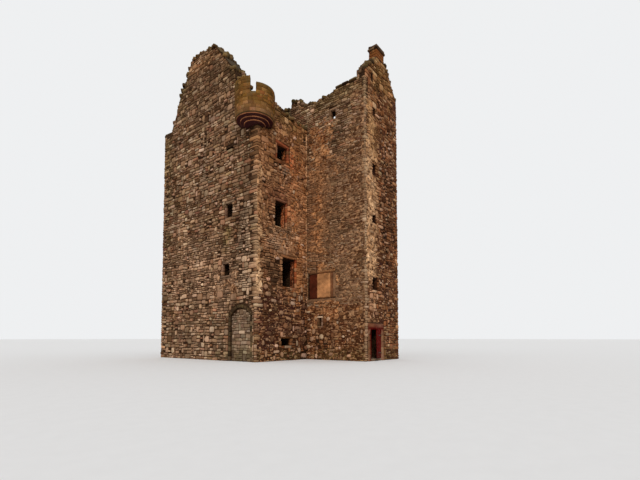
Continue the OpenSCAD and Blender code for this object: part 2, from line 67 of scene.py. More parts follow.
class Finish:
    """A node material. Each method adds nodes and gives back the socket of the result."""

    def __init__(self, name, rough=0.92, shine=0.06):
        self.material = bpy.data.materials.new(name)
        self.material.use_nodes = True
        self.tree = self.material.node_tree
        self.shader = self.tree.nodes["Principled BSDF"]
        self.shader.inputs["Roughness"].default_value = rough
        self.shader.inputs["Specular IOR Level"].default_value = shine
        self.place = self.tree.nodes.new("ShaderNodeTexCoord").outputs["Object"]

    def node(self, kind, *values, **settings):
        """One node; values fill its sockets in order, and None leaves one alone."""
        made = self.tree.nodes.new("ShaderNode" + kind)
        for key, value in settings.items():
            setattr(made, key, value)
        for socket, value in zip(made.inputs, values):
            if isinstance(value, bpy.types.NodeSocket):
                self.tree.links.new(value, socket)
            elif value is not None:
                socket.default_value = value
        return made

    def stretched(self, x, y, z):
        """Object coordinates times a factor on each axis."""
        return self.node("Mapping", self.place, None, None, (x, y, z)).outputs[0]

    def noise(self, scale, detail=4.0, rough=0.6, at=None):
        """Fractal noise, about 0.5 in the middle."""
        made = self.node("TexNoise", at or self.place)
        made.inputs["Scale"].default_value = scale
        made.inputs["Detail"].default_value = detail
        made.inputs["Roughness"].default_value = rough
        return made.outputs["Fac"]

    def cells(self, scale, feature="F1", at=None):
        """Voronoi cells: the distance and the cell's own colour."""
        made = self.node("TexVoronoi", at or self.place, feature=feature)
        made.inputs["Scale"].default_value = scale
        return made

    def rise(self, value, low, high, a=0.0, b=1.0):
        """Smooth step from a to b as value goes from low to high."""
        made = self.node("MapRange", value, low, high, a, b, interpolation_type="SMOOTHSTEP")
        return made.outputs[0]

    def calc(self, kind, a, b=0.0):
        """One sum, product or other operation on two values."""
        return self.node("Math", a, b, operation=kind).outputs[0]

    def mix(self, share, a, b, blend="MIX"):
        """Colour b over colour a by share."""
        made = self.node("Mix", data_type="RGBA", blend_type=blend)
        for index, value in ((0, share), (6, a), (7, b)):
            if isinstance(value, bpy.types.NodeSocket):
                self.tree.links.new(value, made.inputs[index])
            elif index == 0:
                made.inputs[0].default_value = value
            else:
                made.inputs[index].default_value = (*value, 1.0)
        return made.outputs[2]

    def wash(self, colour, value, low, high, tint, share=1.0):
        """The tint over the colour, by up to that share, as value goes from low to high."""
        return self.mix(self.rise(value, low, high, 0.0, share), colour, tint)

    def axis(self, name):
        """One object coordinate."""
        return self.node("SeparateXYZ", self.place).outputs[name]

    def bump(self, height, depth):
        """Relief of that depth in metres where height goes from 0 to 1."""
        made = self.node("Bump", 1.0, depth)
        self.tree.links.new(height, made.inputs["Height"])
        return made.outputs[0]

    def done(self, colour, relief=None):
        """Joins the results to the shader."""
        self.tree.links.new(colour, self.shader.inputs["Base Color"])
        if relief:
            self.tree.links.new(relief, self.shader.inputs["Normal"])
        return self.material


def dress(nodes, material):
    """Gives CAD nodes a material in all their slots."""
    for name in nodes:
        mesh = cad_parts[name].data
        mesh.materials.clear()
        mesh.materials.append(material)


def core_finish():
    """Rubble seen through crumbling mortar: flat cells with dark joints, and grit."""
    look = Finish("wall_core")
    at = look.stretched(1.0, 1.0, 2.1)
    bent = look.node("VectorMath", at, look.node("TexNoise", at).outputs["Color"],
                     operation="ADD").outputs[0]
    joint = look.rise(look.cells(2.6, "DISTANCE_TO_EDGE", bent).outputs[0], 0.02, 0.10)
    tone = look.cells(2.6, "F1", bent).outputs["Color"]
    grit = look.noise(38.0, 6.0)
    patch = look.noise(0.7, 3.0)
    stone = look.mix(look.node("SeparateColor", tone).outputs[0],
                     (0.060, 0.030, 0.014), (0.130, 0.072, 0.036))
    stone = look.wash(stone, patch, 0.45, 0.65, (0.060, 0.026, 0.011))
    colour = look.mix(joint, (0.040, 0.015, 0.005), stone)
    colour = look.mix(look.rise(grit, 0.35, 0.7), colour, (0.075, 0.042, 0.021), "OVERLAY")
    height = look.calc("ADD", look.calc("MULTIPLY", joint, 0.7),
                       look.calc("MULTIPLY", grit, 0.5))
    return look.done(colour, look.bump(height, 0.03))


WALLS = ["left_gable_wall", "right_gable_wall", "front_wall", "back_wall"]
WING = ["wing_left_wall", "wing_right_wall", "wing_front_wall", "wing_pier_left",
        "wing_pier_right", "wing_gable", "wing_return"]
core_material = core_finish()
dress(WALLS + WING, core_material)

# Rubble facing
# Field stones and split slabs of brown and pinkish sandstone, laid in rough courses with
# tall stones, thin levelling stones and open joints, each stone standing proud by itself.

NORTH, EAST, UP = np.array([0.0, 1, 0]), np.array([1.0, 0, 0]), np.array([0.0, 0, 1])
JOINT = 0.016
LEFT_X, RIGHT_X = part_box("left_gable_wall")[0][0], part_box("right_gable_wall")[1][0]
FRONT_Y, BACK_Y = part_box("left_gable_wall")[0][1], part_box("back_wall")[1][1]
WING_X, WING_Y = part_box("wing_front_wall")[0][0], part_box("wing_front_wall")[0][1]


SINES, SINE_SUM, TURN = 8, 3.2, 6.28


def waves(points, scale, seed):
    """Smooth noise from about -1 to 1: a sum of sine waves in random directions, the last
    over three times as fine as the first."""
    rng = np.random.default_rng(seed)
    turns = rng.normal(size=(SINES, 3)) * scale * np.linspace(0.7, 2.4, SINES)[:, None]
    return np.sin(points @ turns.T + rng.uniform(0, TURN, SINES)).sum(-1) / SINE_SUM


class Face:
    """A wall face: origin + u along it + v up + w out of it. bare holds the boxes
    (u0, u1, v0, v1) that the corner stones have taken."""

    def __init__(self, x, y, along, out):
        self.origin, self.out = np.array([x, y, 0.0]), out
        self.turn = np.array([along, UP, out])
        self.flip = np.linalg.det(self.turn) < 0
        self.bare = []

    def place(self, local):
        """The points of (u, v, w)."""
        return self.origin + local @ self.turn


def joined_mesh(name, points, faces, flip, paint, material, node=None, body="tower"):
    """A piece from points and arrays of face corners, with its paint. It takes the place
    of the CAD node where one is named."""
    mesh = bpy.data.meshes.new(name)
    if flip:
        faces = [f[:, ::-1] for f in faces]
    points = points.reshape(-1, 3).clip(cad_low, cad_high)
    corners = np.concatenate([f.ravel() for f in faces])
    counts = np.concatenate([np.full(len(f), f.shape[1]) for f in faces])
    mesh.vertices.add(len(points))
    mesh.vertices.foreach_set("co", points.astype(np.float32).ravel())
    mesh.loops.add(len(corners))
    mesh.loops.foreach_set("vertex_index", corners.astype(np.int32))
    mesh.polygons.add(len(counts))
    starts = np.concatenate([[0], np.cumsum(counts)[:-1]])
    mesh.polygons.foreach_set("loop_start", starts.astype(np.int32))
    mesh.update(calc_edges=True)
    mesh.validate()
    if paint is not None:
        layer = mesh.attributes.new("paint", "FLOAT_COLOR", "POINT")
        rgba = np.ones((len(points), 4), np.float32)
        rgba[:, :3] = paint.reshape(-1, 3)
        layer.data.foreach_set("color", rgba.ravel())
    piece = bpy.data.objects.new(name, mesh)
    bpy.context.scene.collection.objects.link(piece)
    mesh.materials.append(material)
    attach(piece, body)
    if node:
        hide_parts(node)


def half_sizes(cells, gap):
    """Half the width and height of cells (u0, u1, v0, v1), less a gap on each side."""
    return np.stack([cells[:, 1] - cells[:, 0], cells[:, 3] - cells[:, 2]], 1) / 2 - gap


def move_to(cells, local):
    """Moves each stone's points to the middle of its cell."""
    local[..., 0] += cells[:, :2].mean(1)[:, None]
    local[..., 1] += cells[:, 2:4].mean(1)[:, None]


UNEVEN, LEAN, ROUGH_FACE = 0.035, 0.06, (0.86, 1.1)
CHIPPED, CHIP = 0.3, 0.35
BOTH_ENDS = (True, True)


def ring_stones(half, rings, rng, cut=0.30, ends=(False, True)):
    """Local points and faces of n stones.

    A stone is a grid: eight points round a rectangle of the given half sizes, whose
    corners are cut by random shares, carried through the levels of rings. Each level is
    (how far it is drawn in, how far out it lies). UNEVEN shakes its outline, a share of
    the stones, CHIPPED, loses more of one corner, LEAN tilts the outer level, and a
    middle point closes an end.
    """
    n = len(half)
    sign = np.array([(1, 1), (1, 1), (-1, 1), (-1, 1), (-1, -1), (-1, -1), (1, -1), (1, -1)])
    cut_u = np.array([0, 1, 1, 0, 0, 1, 1, 0])
    small = half.min(1)[:, None]
    loss = cut * rng.uniform(0.25, 1.0, (n, 8)) * small
    loss[:, :2] += (rng.random((n, 1)) < CHIPPED) * small * CHIP
    u = sign[:, 0] * (half[:, :1] - loss * cut_u) + rng.normal(0, UNEVEN, (n, 8)) * small
    v = sign[:, 1] * (half[:, 1:] - loss * (1 - cut_u)) + rng.normal(0, UNEVEN, (n, 8)) * small
    tilt = rng.normal(0, LEAN, (n, 2))
    levels = []
    for k, (inset, out) in enumerate(rings):
        inset = np.broadcast_to(inset, n)[:, None]
        shrink_u = 1 - inset / half[:, :1]
        shrink_v = 1 - inset / half[:, 1:]
        w = np.broadcast_to(out, n)[:, None] + np.zeros((n, 8))
        if k == len(rings) - 1:
            w = w * rng.uniform(*ROUGH_FACE, (n, 8))
            w += (u * tilt[:, :1] + v * tilt[:, 1:]) * 0.6
        levels.append(np.stack([u * shrink_u, v * shrink_v, w], -1))
    k = len(levels)
    grid = np.arange(8 * k).reshape(k, 8)
    after = np.roll(grid, -1, axis=1)
    quads = np.stack([grid[:-1], after[:-1], after[1:], grid[1:]], -1).reshape(-1, 4)
    points, fans = levels, []
    count = 8 * k
    for end, level in ((0, 0), (1, k - 1)):
        if not ends[end]:
            continue
        middle = levels[level].mean(1, keepdims=True)
        middle[..., 2] += (0.004 + 0.05 * small) * (1 if end else -1) * 0.4
        points = points + [middle]
        ring, nxt = grid[level], after[level]
        if not end:
            ring, nxt = nxt, ring
        fans.append(np.stack([ring, nxt, np.full(8, count)], -1))
        count += 1
    local = np.concatenate(points, 1)
    offset = (np.arange(n) * count)[:, None, None]
    faces = [(quads + offset).reshape(-1, 4)]
    if fans:
        faces.append((np.concatenate(fans) + offset).reshape(-1, 3))
    return local, faces


def cad_shape(node):
    """A CAD node's points and the corners of its triangles."""
    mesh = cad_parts[node].data
    co = np.empty(len(mesh.vertices) * 3)
    mesh.vertices.foreach_get("co", co)
    mesh.calc_loop_triangles()
    tri = np.empty(len(mesh.loop_triangles) * 3, np.int32)
    mesh.loop_triangles.foreach_get("vertices", tri)
    return co.reshape(-1, 3), tri.reshape(-1, 3)


def collect_cad():
    """One search tree over every CAD node's triangles, and the node of each triangle."""
    points, triangles, owner, start = [], [], [], 0
    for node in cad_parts:
        co, tri = cad_shape(node)
        points += co.tolist()
        triangles += (tri + start).tolist()
        owner += [node] * len(tri)
        start += len(co)
    return BVHTree.FromPolygons(points, triangles), owner


cad_tree, cad_owner = collect_cad()
STEP, REACH, NEAR = 0.04, 1.3, 0.025


def solid_map(place, out, length, low, high, nodes, reach=REACH):
    """True where a wall stands: cells of STEP, each tested by a ray that starts reach away
    and has to meet one of the nodes NEAR the face."""
    us = np.arange(STEP / 2, length, STEP)
    vs = np.arange(low + STEP / 2, high, STEP)
    solid = np.zeros((len(vs), len(us)), bool)
    grid = np.stack(np.broadcast_arrays(us[None, :], vs[:, None], reach), -1)
    starts = place(grid)
    outs = np.broadcast_to(out(grid) if callable(out) else out, starts.shape)
    for i, row in enumerate(starts):
        for j, p in enumerate(row):
            hit = cad_tree.ray_cast(Vector(p), Vector(-outs[i, j]), reach + NEAR)
            solid[i, j] = (hit[0] is not None and cad_owner[hit[2]] in nodes
                           and hit[3] > reach - NEAR)
    return solid


SHORTEST, LONGEST, LEAST_SPLIT = 0.10, 0.75, 0.13
LEAST_FILL, LONGER = 0.07, 0.03


def lay_courses(solid, low, rng, height=(0.08, 0.22), ratio=(1.1, 3.2), tall=0.10, thin=0.22):
    """Stones (u0, u1, v0, v1) course by course over the solid part of a map.

    height and ratio are the draws of a course's height and of a stone's length by it,
    and every stone is LONGER than its draw. A stretch up to LEAST_FILL is left to the
    mortar. A share of the stones, tall, rises through two courses, and another share,
    thin, is split into levelling stones where the course is high enough.
    """
    levels = [low]
    while levels[-1] < low + len(solid) * STEP:
        levels.append(levels[-1] + rng.uniform(*height))
    rows = [solid[max(0, int((a - low) / STEP)):int(math.ceil((b - low) / STEP))]
            for a, b in zip(levels, levels[1:])]
    free = [r.all(0) if len(r) else np.zeros(solid.shape[1], bool) for r in rows]
    stones = []
    for k, here in enumerate(free):
        edge = np.flatnonzero(np.diff(np.concatenate([[0], here.astype(int), [0]])))
        a, b = levels[k], levels[k + 1]
        for first, last in edge.reshape(-1, 2):
            u, end = first * STEP, last * STEP
            while end - u > LEAST_FILL:
                w = (b - a) * rng.uniform(*ratio) + LONGER
                if end - u - w < SHORTEST:
                    w = end - u
                if w > LONGEST:
                    w *= 0.5
                cells = slice(int(round(u / STEP)), int(round((u + w) / STEP)))
                if k + 1 < len(free) and rng.random() < tall and free[k + 1][cells].all():
                    stones.append((u, u + w, a, levels[k + 2]))
                    free[k + 1][cells] = False
                elif b - a > LEAST_SPLIT and rng.random() < thin:
                    middle = a + (b - a) * rng.uniform(0.35, 0.65)
                    at = u + w * rng.uniform(0.3, 0.7)
                    stones += [(u, u + w, a, middle), (u, at, middle, b), (at, u + w, middle, b)]
                else:
                    stones.append((u, u + w, a, b))
                u += w
    return np.array(stones)


# Stone colours as (red, green, blue, share of the stones)
BROWN = [(0.275, 0.158, 0.088, 3), (0.200, 0.108, 0.056, 2.6), (0.360, 0.232, 0.142, 2.6),
         (0.115, 0.054, 0.024, 1.4), (0.470, 0.330, 0.218, 0.9), (0.265, 0.120, 0.066, 0.6)]
RED = [(0.270, 0.112, 0.046, 3), (0.190, 0.070, 0.026, 2.6), (0.370, 0.190, 0.094, 2.4),
       (0.105, 0.036, 0.012, 1.6), (0.480, 0.295, 0.170, 0.9)]
# Painted shade: factors that darken each stone's ring in the joint and the ring above it.
JOINT_SHADE, EDGE_SHADE = np.array((0.34, 0.22, 0.13)), np.array((0.80, 0.70, 0.62))


def near_stain(points, centre, size, seed):
    """1 in the middle of a soft ellipsoid with a ragged edge, and 0 outside it."""
    far = np.sqrt((((points - centre) / size) ** 2).sum(-1))
    ragged = far + 0.28 * waves(points, 2.2, seed) + 0.14 * waves(points, 6.5, seed + 1)
    return np.clip(1.6 - 1.6 * ragged, 0, 1)


def paint_stones(points, rng, palette, stains, spread=0.20):
    """A colour for each point of (n, m, 3) stones: one draw for a stone, mottled by waves,
    then the stains.

    A stain is (centre, half size, colour, strength) and, where lime fills the joints and
    evens out the stones, how much of it there is. The rings in the joint get painted shade.
    """
    n, m = points.shape[:2]
    tones = np.array([p[:3] for p in palette])
    odds = np.array([p[3] for p in palette])
    pick = rng.choice(len(palette), n, p=odds / odds.sum())
    tone = tones[pick] * np.exp(rng.normal(0, spread, (n, 1))) * rng.normal(1, 0.03, (n, 3))
    paint = np.repeat(tone[:, None], m, 1)
    paint *= 1 + (0.12 * waves(points, 9.0, 3) + 0.17 * waves(points, 1.7, 5))[..., None]
    limed = np.zeros((n, m, 1))
    for i, (centre, size, colour, strength, *lime) in enumerate(stains):
        share = near_stain(points, centre, size, 40 + 2 * i) * strength
        share = (share * rng.uniform(0.55, 1.15, (n, 1))).clip(0, 1)[..., None]
        own = np.array(colour) * (paint.mean(-1, keepdims=True) / 0.16).clip(0.5, 1.7)
        if lime:
            own += (np.array(colour) - own) * lime[0]
            limed = np.maximum(limed, share * lime[0])
        paint = paint * (1 - share) + own * share
    # Painted shade on the stone's sides in the joint, left off where lime fills it.
    paint[:, :8] *= JOINT_SHADE + (1 - JOINT_SHADE) * limed[:, :8]
    paint[:, 8:16] *= EDGE_SHADE + (1 - EDGE_SHADE) * limed[:, 8:16]
    return paint.clip(0.004, 0.9)


def stone_finish(name, spots=1.0):
    """Painted stone with grain, dark pits, lichen spots and rain streaks."""
    look = Finish(name)
    paint = look.node("Attribute", attribute_name="paint").outputs["Color"]
    grain = look.noise(55.0, 6.0, 0.7)
    lump = look.noise(13.0, 4.0, 0.55)
    streak = look.noise(1.0, 4.0, 0.6, look.stretched(7.0, 7.0, 0.7))
    colour = look.mix(look.rise(grain, 0.30, 0.75), (0.62, 0.60, 0.58), (1.35, 1.33, 1.30))
    colour = look.mix(1.0, paint, colour, "MULTIPLY")
    colour = look.wash(colour, lump, 0.55, 0.75, (0.055, 0.024, 0.010), 0.5)
    colour = look.wash(colour, streak, 0.56, 0.72, (0.060, 0.026, 0.010), 0.40)
    spot = look.rise(look.noise(21.0, 3.0, 0.5), 0.62, 0.70, 0, 0.55 * spots)
    field = look.rise(look.noise(0.9, 3.0), 0.42, 0.62)
    colour = look.mix(look.calc("MULTIPLY", spot, field), colour, (0.30, 0.24, 0.13))
    height = look.calc("ADD", look.calc("MULTIPLY", lump, 1.0),
                       look.calc("MULTIPLY", grain, 0.45))
    return look.done(colour, look.bump(height, 0.022))


stone_material = stone_finish("rubble_face")
COBBLE = [(0.330, 0.185, 0.110, 3), (0.470, 0.310, 0.205, 2), (0.210, 0.100, 0.052, 2)]
SQUAT = 0.8


def stone_piece(name, points, faces, flip, paint, node=None):
    """A piece of painted stones on the tower."""
    joined_mesh(name, points, faces, flip, paint, stone_material, node)


def strew(rng, solid, low, boulders):
    """Cells (u0, u1, v0, v1) of boulders strewn where the map is solid, none touching, and
    taken out of the map. boulders holds (u0, u1, v0, v1, how many, smallest, largest), and
    a boulder's height is SQUAT times its draw."""
    cells = []
    for u0, u1, v0, v1, count, small, large in boulders:
        for u, v, w, h in rng.uniform((u0, v0, small, small), (u1, v1, large, large), (count, 4)):
            top = v + SQUAT * h
            rows = slice(int((v - low) / STEP), int((top - low) / STEP) + 1)
            columns = slice(int(u / STEP), int((u + w) / STEP) + 1)
            if v >= low and solid[rows, columns].size and solid[rows, columns].all():
                solid[rows, columns] = False
                cells.append((u, u + w, v, top))
    return np.array(cells).reshape(-1, 4)


BOULDER_PROUD = (0.05, 0.12)


def face_wall(name, face, length, high, nodes, palette, stains, seed, proud=(0.015, 0.05),
              low=0.0, slot="rubble", cut=0.42, joint=JOINT, boulders=(), plain=False, **course):
    """Rubble over one flat wall face, in courses that wander up and down a little. A
    plain wall's stones, which the photograph hides or shows small, have one ring less, and
    boulders have rounder corners and stand BOULDER_PROUD."""
    rng = np.random.default_rng(seed)
    solid = solid_map(face.place, face.out, length, low, high, nodes)
    for u0, u1, v0, v1 in face.bare:
        solid[int((v0 - low) / STEP):int((v1 - low) / STEP) + 1,
              max(0, int(u0 / STEP)):int(math.ceil(u1 / STEP))] = False
    strewn = strew(rng, solid, low, boulders)
    cells = np.concatenate([strewn, lay_courses(solid, low, rng, **course)])
    round_cut = np.full((len(cells), 1), cut)
    round_cut[:len(strewn)] = 1.0
    half = half_sizes(cells, joint / 2)
    out_by = rng.uniform(*proud, len(cells))
    out_by[:len(strewn)] = rng.uniform(*BOULDER_PROUD, len(strewn))
    small = half.min(1)
    rings = [(0, -0.02), (0.07 * small, out_by * 0.40), (0.24 * small, out_by * 0.82),
             (0.56 * small, out_by)]
    if plain:
        rings[1:3] = [(0.13 * small, out_by * 0.66)]
    local, faces = ring_stones(half, rings, rng, cut=round_cut)
    move_to(cells, local)
    flat = local[..., [0, 1, 0]]
    local[..., 1] += 0.040 * waves(flat, 0.8, 7) + 0.016 * waves(flat, 2.6, 9)
    points = face.place(local)
    points[..., 2] = np.maximum(points[..., 2], 0.0)
    paint = paint_stones(points, rng, palette, stains)
    if len(strewn):
        paint[:len(strewn)] = paint_stones(points[:len(strewn)], rng, COBBLE, ())
    stone_piece(name, points, faces, face.flip, paint)


# Corner stones
# Bigger blocks bonded round each outer corner, long on one face and short on the other,
# laid before the rubble between them.

on_left = Face(LEFT_X, FRONT_Y, NORTH, -EAST)
on_front = Face(LEFT_X, FRONT_Y, EAST, -NORTH)
on_right = Face(RIGHT_X, FRONT_Y, NORTH, EAST)
on_back = Face(LEFT_X, BACK_Y, EAST, NORTH)
on_wing_left = Face(WING_X, WING_Y, NORTH, -EAST)
on_wing_front = Face(WING_X, WING_Y, EAST, -NORTH)
on_wing_right = Face(RIGHT_X, WING_Y, NORTH, EAST)


def block_rings(bevel, half):
    """The levels of a squared block, bevelled at both ends."""
    return [(bevel, -half), (0, bevel - half), (0, half - bevel), (bevel, half)]


def corner_stones(name, corner, legs, low, high, seed, palette=BROWN, room=(9.0, 9.0, 0.0),
                  lit=0.0, longest=16):
    """Blocks round one corner. legs are two of (face, u of the corner, +1 or -1 where the
    leg runs with u or against it). room holds the longest legs allowed below a height:
    (first leg, second leg, height). lit is how far the stones near the arris are painted
    towards a pale highlight, and longest the longest leg in steps."""
    rng = np.random.default_rng(seed)
    levels = [low]
    while levels[-1] < high:
        levels.append(levels[-1] + rng.uniform(0.09, 0.25))
    levels = np.array(levels[:-1] + [high]) if high - levels[-2] > 0.1 else np.array(levels[:-1])
    a, b = levels[:-1], levels[1:]
    long_leg = rng.integers(longest // 2, longest, len(a)) * STEP
    short_leg = rng.integers(longest // 4, longest // 2 + 1, len(a)) * STEP
    turn = rng.random(len(a)) < 0.5
    first = np.where(turn, long_leg, short_leg)
    second = np.where(turn, short_leg, long_leg)
    first = np.where(a < room[2], np.minimum(first, room[0]), first)
    second = np.where(a < room[2], np.minimum(second, room[1]), second)
    for (face, at, side), leg in zip(legs, (first, second)):
        for k in range(len(a)):
            face.bare.append((*sorted((at, at + side * leg[k])), a[k] + 0.01, b[k] - 0.045))
    proud = rng.uniform(0.010, 0.040, (len(a), 2))
    way = np.array([side * face.turn[0] for face, at, side in legs])
    low_end, high_end = -proud, np.stack([first, second], 1) - JOINT / 2
    half = (high_end - low_end) / 2
    middle = (high_end + low_end) / 2
    height = (b - a) / 2 - JOINT / 2
    bevel = rng.uniform(0.012, 0.03, len(a))
    local, faces = ring_stones(half, block_rings(bevel, height), rng, 0.22, BOTH_ENDS)
    local[..., :2] += middle[:, None]
    points = np.array([corner[0], corner[1], 0.0]) + local[..., :2] @ way
    points[..., 2] = local[..., 2] + ((a + b) / 2)[:, None]
    points[..., 2] = np.clip(points[..., 2], 0.0, None)
    flip = np.cross(way[0], way[1])[2] < 0
    paint = paint_stones(points, rng, palette, corner_stains)
    # Painted highlight: stones close to the arris are blended towards a pale colour.
    away = np.hypot(*(points[..., :2] - np.array(corner)).transpose(2, 0, 1))[..., None]
    share = lit * np.exp(-(away / ARRIS) ** 2) * (0.6 + 0.4 * waves(points, 1.5, 9)[..., None])
    paint += (ARRIS_HIGHLIGHT - paint) * share.clip(0, 1)
    stone_piece(name, points, faces, flip, paint)


ARRIS, ARRIS_HIGHLIGHT = 0.10, np.array((0.52, 0.34, 0.20))
OLIVE = (0.165, 0.112, 0.040)
ORANGE = (0.300, 0.125, 0.038)
PALE = (0.360, 0.255, 0.170)
TAN = (0.320, 0.175, 0.080)
MAROON = (0.115, 0.034, 0.018)
SOOT = (0.070, 0.036, 0.018)
GREEN = (0.085, 0.074, 0.026)
corner_stains = [
    ((LEFT_X + 0.3, FRONT_Y, 7.0), (0.5, 0.12, 4.4), (0.580, 0.365, 0.205), 0.85, 0.6),
    ((LEFT_X, FRONT_Y, 12.3), (1.4, 1.4, 1.6), ORANGE, 0.6),
    ((LEFT_X, BACK_Y, 14.0), (1.2, 1.2, 3.0), OLIVE, 0.7),
    ((WING_X, WING_Y + 0.7, 8.0), (0.2, 0.62, 9.0), (0.175, 0.092, 0.047), 0.85, 0.5),
    ((WING_X + 0.6, WING_Y, 8.8), (0.5, 0.30, 6.4), (0.520, 0.315, 0.175), 0.85, 0.6),
    ((WING_X, WING_Y, 15.8), (1.6, 1.6, 1.8), OLIVE, 0.6),
]
DEPTH, LENGTH = BACK_Y - FRONT_Y, RIGHT_X - LEFT_X
WING_OUT, WING_W = FRONT_Y - WING_Y, RIGHT_X - WING_X
RING_LOW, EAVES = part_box("turret_corbels")[0][2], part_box("eaves_stones")[0][2]
WING_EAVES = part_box("wing_front_wall")[1][2]
ARCH_TOP = 3.05
at_turret = ((on_left, 0.0, 1), (on_front, 0.0, 1))
corner_stones("turret_corner_stones", (LEFT_X, FRONT_Y), at_turret, ARCH_TOP, RING_LOW - 0.05, 21,
              lit=0.15)
corner_stones("turret_corner_base", (LEFT_X, FRONT_Y), at_turret, 0.0, ARCH_TOP, 22,
              room=(0.11, 9.0, 3.0))
corner_stones("back_left_corner_stones", (LEFT_X, BACK_Y),
              ((on_left, DEPTH, -1), (on_back, 0.0, 1)), 0.0, EAVES, 23)
corner_stones("back_right_corner_stones", (RIGHT_X, BACK_Y),
              ((on_right, DEPTH, -1), (on_back, LENGTH, -1)), 0.0, EAVES, 24)
corner_stones("wing_left_corner_stones", (WING_X, WING_Y),
              ((on_wing_left, 0.0, 1), (on_wing_front, 0.0, 1)), 0.0, WING_EAVES, 25,
              room=(9.0, 0.19, 2.3), lit=0.7, longest=10)
corner_stones("wing_right_corner_stones", (RIGHT_X, WING_Y),
              ((on_wing_right, 0.0, 1), (on_wing_front, WING_W, -1)), 0.0, WING_EAVES, 26, RED)

# The outer wall faces
# Each face of the block and the wing has its own mixture: brown and grey on the sides,
# redder on the fronts, with lichen high up, damp low down and old stains under openings.

THROUGH = 2.0


def stains_on(face, rows):
    """Stains on a wall from rows (its x or y, height, half width, half height, colour,
    strength and, where lime is in it, its share), THROUGH metres deep."""
    across = int(np.abs(face.out).argmax())
    return [(np.insert(np.array((along, high)), across, face.origin[across]),
             np.insert(np.array((wide, tall)), across, THROUGH), *rest)
            for along, high, wide, tall, *rest in rows]


left_stains = stains_on(on_left, [
    (-3.0, 17.6, 1.6, 1.6, OLIVE, 0.7),
    (4.4, 12.6, 0.8, 7.0, OLIVE, 0.55),
    (2.8, 18.0, 1.2, 1.6, OLIVE, 0.8),
    (0.2, 19.3, 2.0, 0.9, ORANGE, 0.5),
    (0.0, 17.4, 4.5, 3.6, (0.115, 0.062, 0.030), 0.55),
    (-2.35, 7.2, 0.5, 1.3, OLIVE, 0.8),
    (-2.1, 4.1, 1.1, 1.5, (0.330, 0.205, 0.130), 0.7),
    (-4.0, 6.0, 1.0, 5.0, PALE, 0.6),
    (1.0, 1.0, 4.5, 1.4, PALE, 0.35),
    (0.5, 5.0, 4.8, 3.4, (0.370, 0.218, 0.130), 0.55),
    (0.6, 2.3, 2.4, 0.10, (0.07, 0.04, 0.02), 0.9),
    (-3.4, 0.3, 2.2, 0.7, GREEN, 0.45),
])
front_stains = stains_on(on_front, [
    (-3.6, 12.2, 1.4, 1.4, ORANGE, 0.7, 0.3),
    (-0.6, 8.9, 1.0, 6.6, (0.420, 0.170, 0.062), 0.85, 0.25),
    (-2.2, 8.0, 2.6, 6.5, (0.440, 0.235, 0.120), 0.60, 0.3),
    (-1.7, 12.5, 1.0, 1.1, (0.400, 0.100, 0.034), 0.85),
    (-1.3, 11.0, 0.9, 1.3, (0.380, 0.130, 0.050), 0.7),
    (-1.2, 8.9, 0.5, 1.0, (0.360, 0.120, 0.045), 0.7),
    (-2.2, 9.9, 1.9, 0.6, (0.150, 0.048, 0.022), 0.7),
    (-1.9, 4.2, 1.3, 1.3, MAROON, 0.5),
    (-2.1, 7.1, 1.7, 1.0, (0.480, 0.300, 0.185), 0.75, 0.2),
    (-0.5, 4.8, 0.8, 1.9, (0.400, 0.165, 0.062), 0.85, 0.6),
    (-3.1, 3.0, 1.1, 2.4, SOOT, 0.8),
    (-3.0, 4.6, 0.9, 1.6, SOOT, 0.75),
    (-2.0, 1.6, 2.6, 2.2, (0.110, 0.044, 0.018), 0.4),
    (-1.4, 1.7, 2.2, 0.8, (0.300, 0.165, 0.110), 0.5),
    (-1.4, 0.2, 3.2, 0.7, GREEN, 0.5),
    (-1.4, 14.2, 2.8, 1.7, (0.230, 0.110, 0.030), 0.6),
    (-2.0, 14.8, 2.4, 0.8, OLIVE, 0.4),
    (-1.8, 11.3, 0.5, 0.5, (0.400, 0.270, 0.180), 0.8),
    (-3.2, 7.6, 0.6, 0.3, SOOT, 0.9),
    (-1.5, 7.6, 0.4, 0.3, SOOT, 0.9),
])
wing_left_stains = stains_on(on_wing_left, [
    (-5.3, 9.2, 1.3, 6.0, (0.290, 0.132, 0.058), 0.90, 0.8),
    (-7.4, 9.5, 2.4, 6.2, (0.190, 0.100, 0.051), 0.75, 0.5),
    (-7.4, 4.6, 2.4, 1.6, (0.190, 0.104, 0.054), 0.60, 0.5),
    (-6.9, 13.4, 0.35, 1.6, (0.10, 0.055, 0.028), 0.8),
    (-7.0, 2.0, 2.4, 1.0, (0.280, 0.135, 0.064), 0.5),
    (-7.0, 0.2, 2.6, 0.7, GREEN, 0.45),
    (-6.6, 16.4, 2.4, 0.9, OLIVE, 0.6),
])
wing_front_stains = stains_on(on_wing_front, [
    (0.7, 9.0, 0.9, 6.4, (0.500, 0.300, 0.165), 0.90, 0.6),
    (0.6, 3.4, 0.8, 1.8, (0.300, 0.155, 0.090), 0.7),
    (3.2, 9.0, 1.5, 9.0, (0.105, 0.040, 0.016), 0.55),
    (2.2, 17.6, 2.4, 1.8, (0.260, 0.140, 0.045), 0.7),
    (1.2, 13.5, 0.9, 2.0, (0.300, 0.160, 0.060), 0.6),
    (2.6, 0.2, 2.4, 0.8, GREEN, 0.5),
])
back_stains = stains_on(on_back, [
    (0.0, 15.0, 5.0, 1.0, OLIVE, 0.6),
    (0.0, 0.3, 5.0, 1.1, GREEN, 0.6),
    (2.4, 7.0, 1.0, 4.0, TAN, 0.5),
])
right_stains = stains_on(on_right, [
    (0.4, 18.6, 2.6, 1.2, OLIVE, 0.7),
    (1.0, 0.3, 8.0, 1.1, GREEN, 0.5),
    (-2.0, 9.0, 1.2, 4.0, PALE, 0.5),
])
wing_right_stains = stains_on(on_wing_right, [(-7.0, 9.0, 3.0, 11.0, (0.200, 0.088, 0.040), 0.5)])
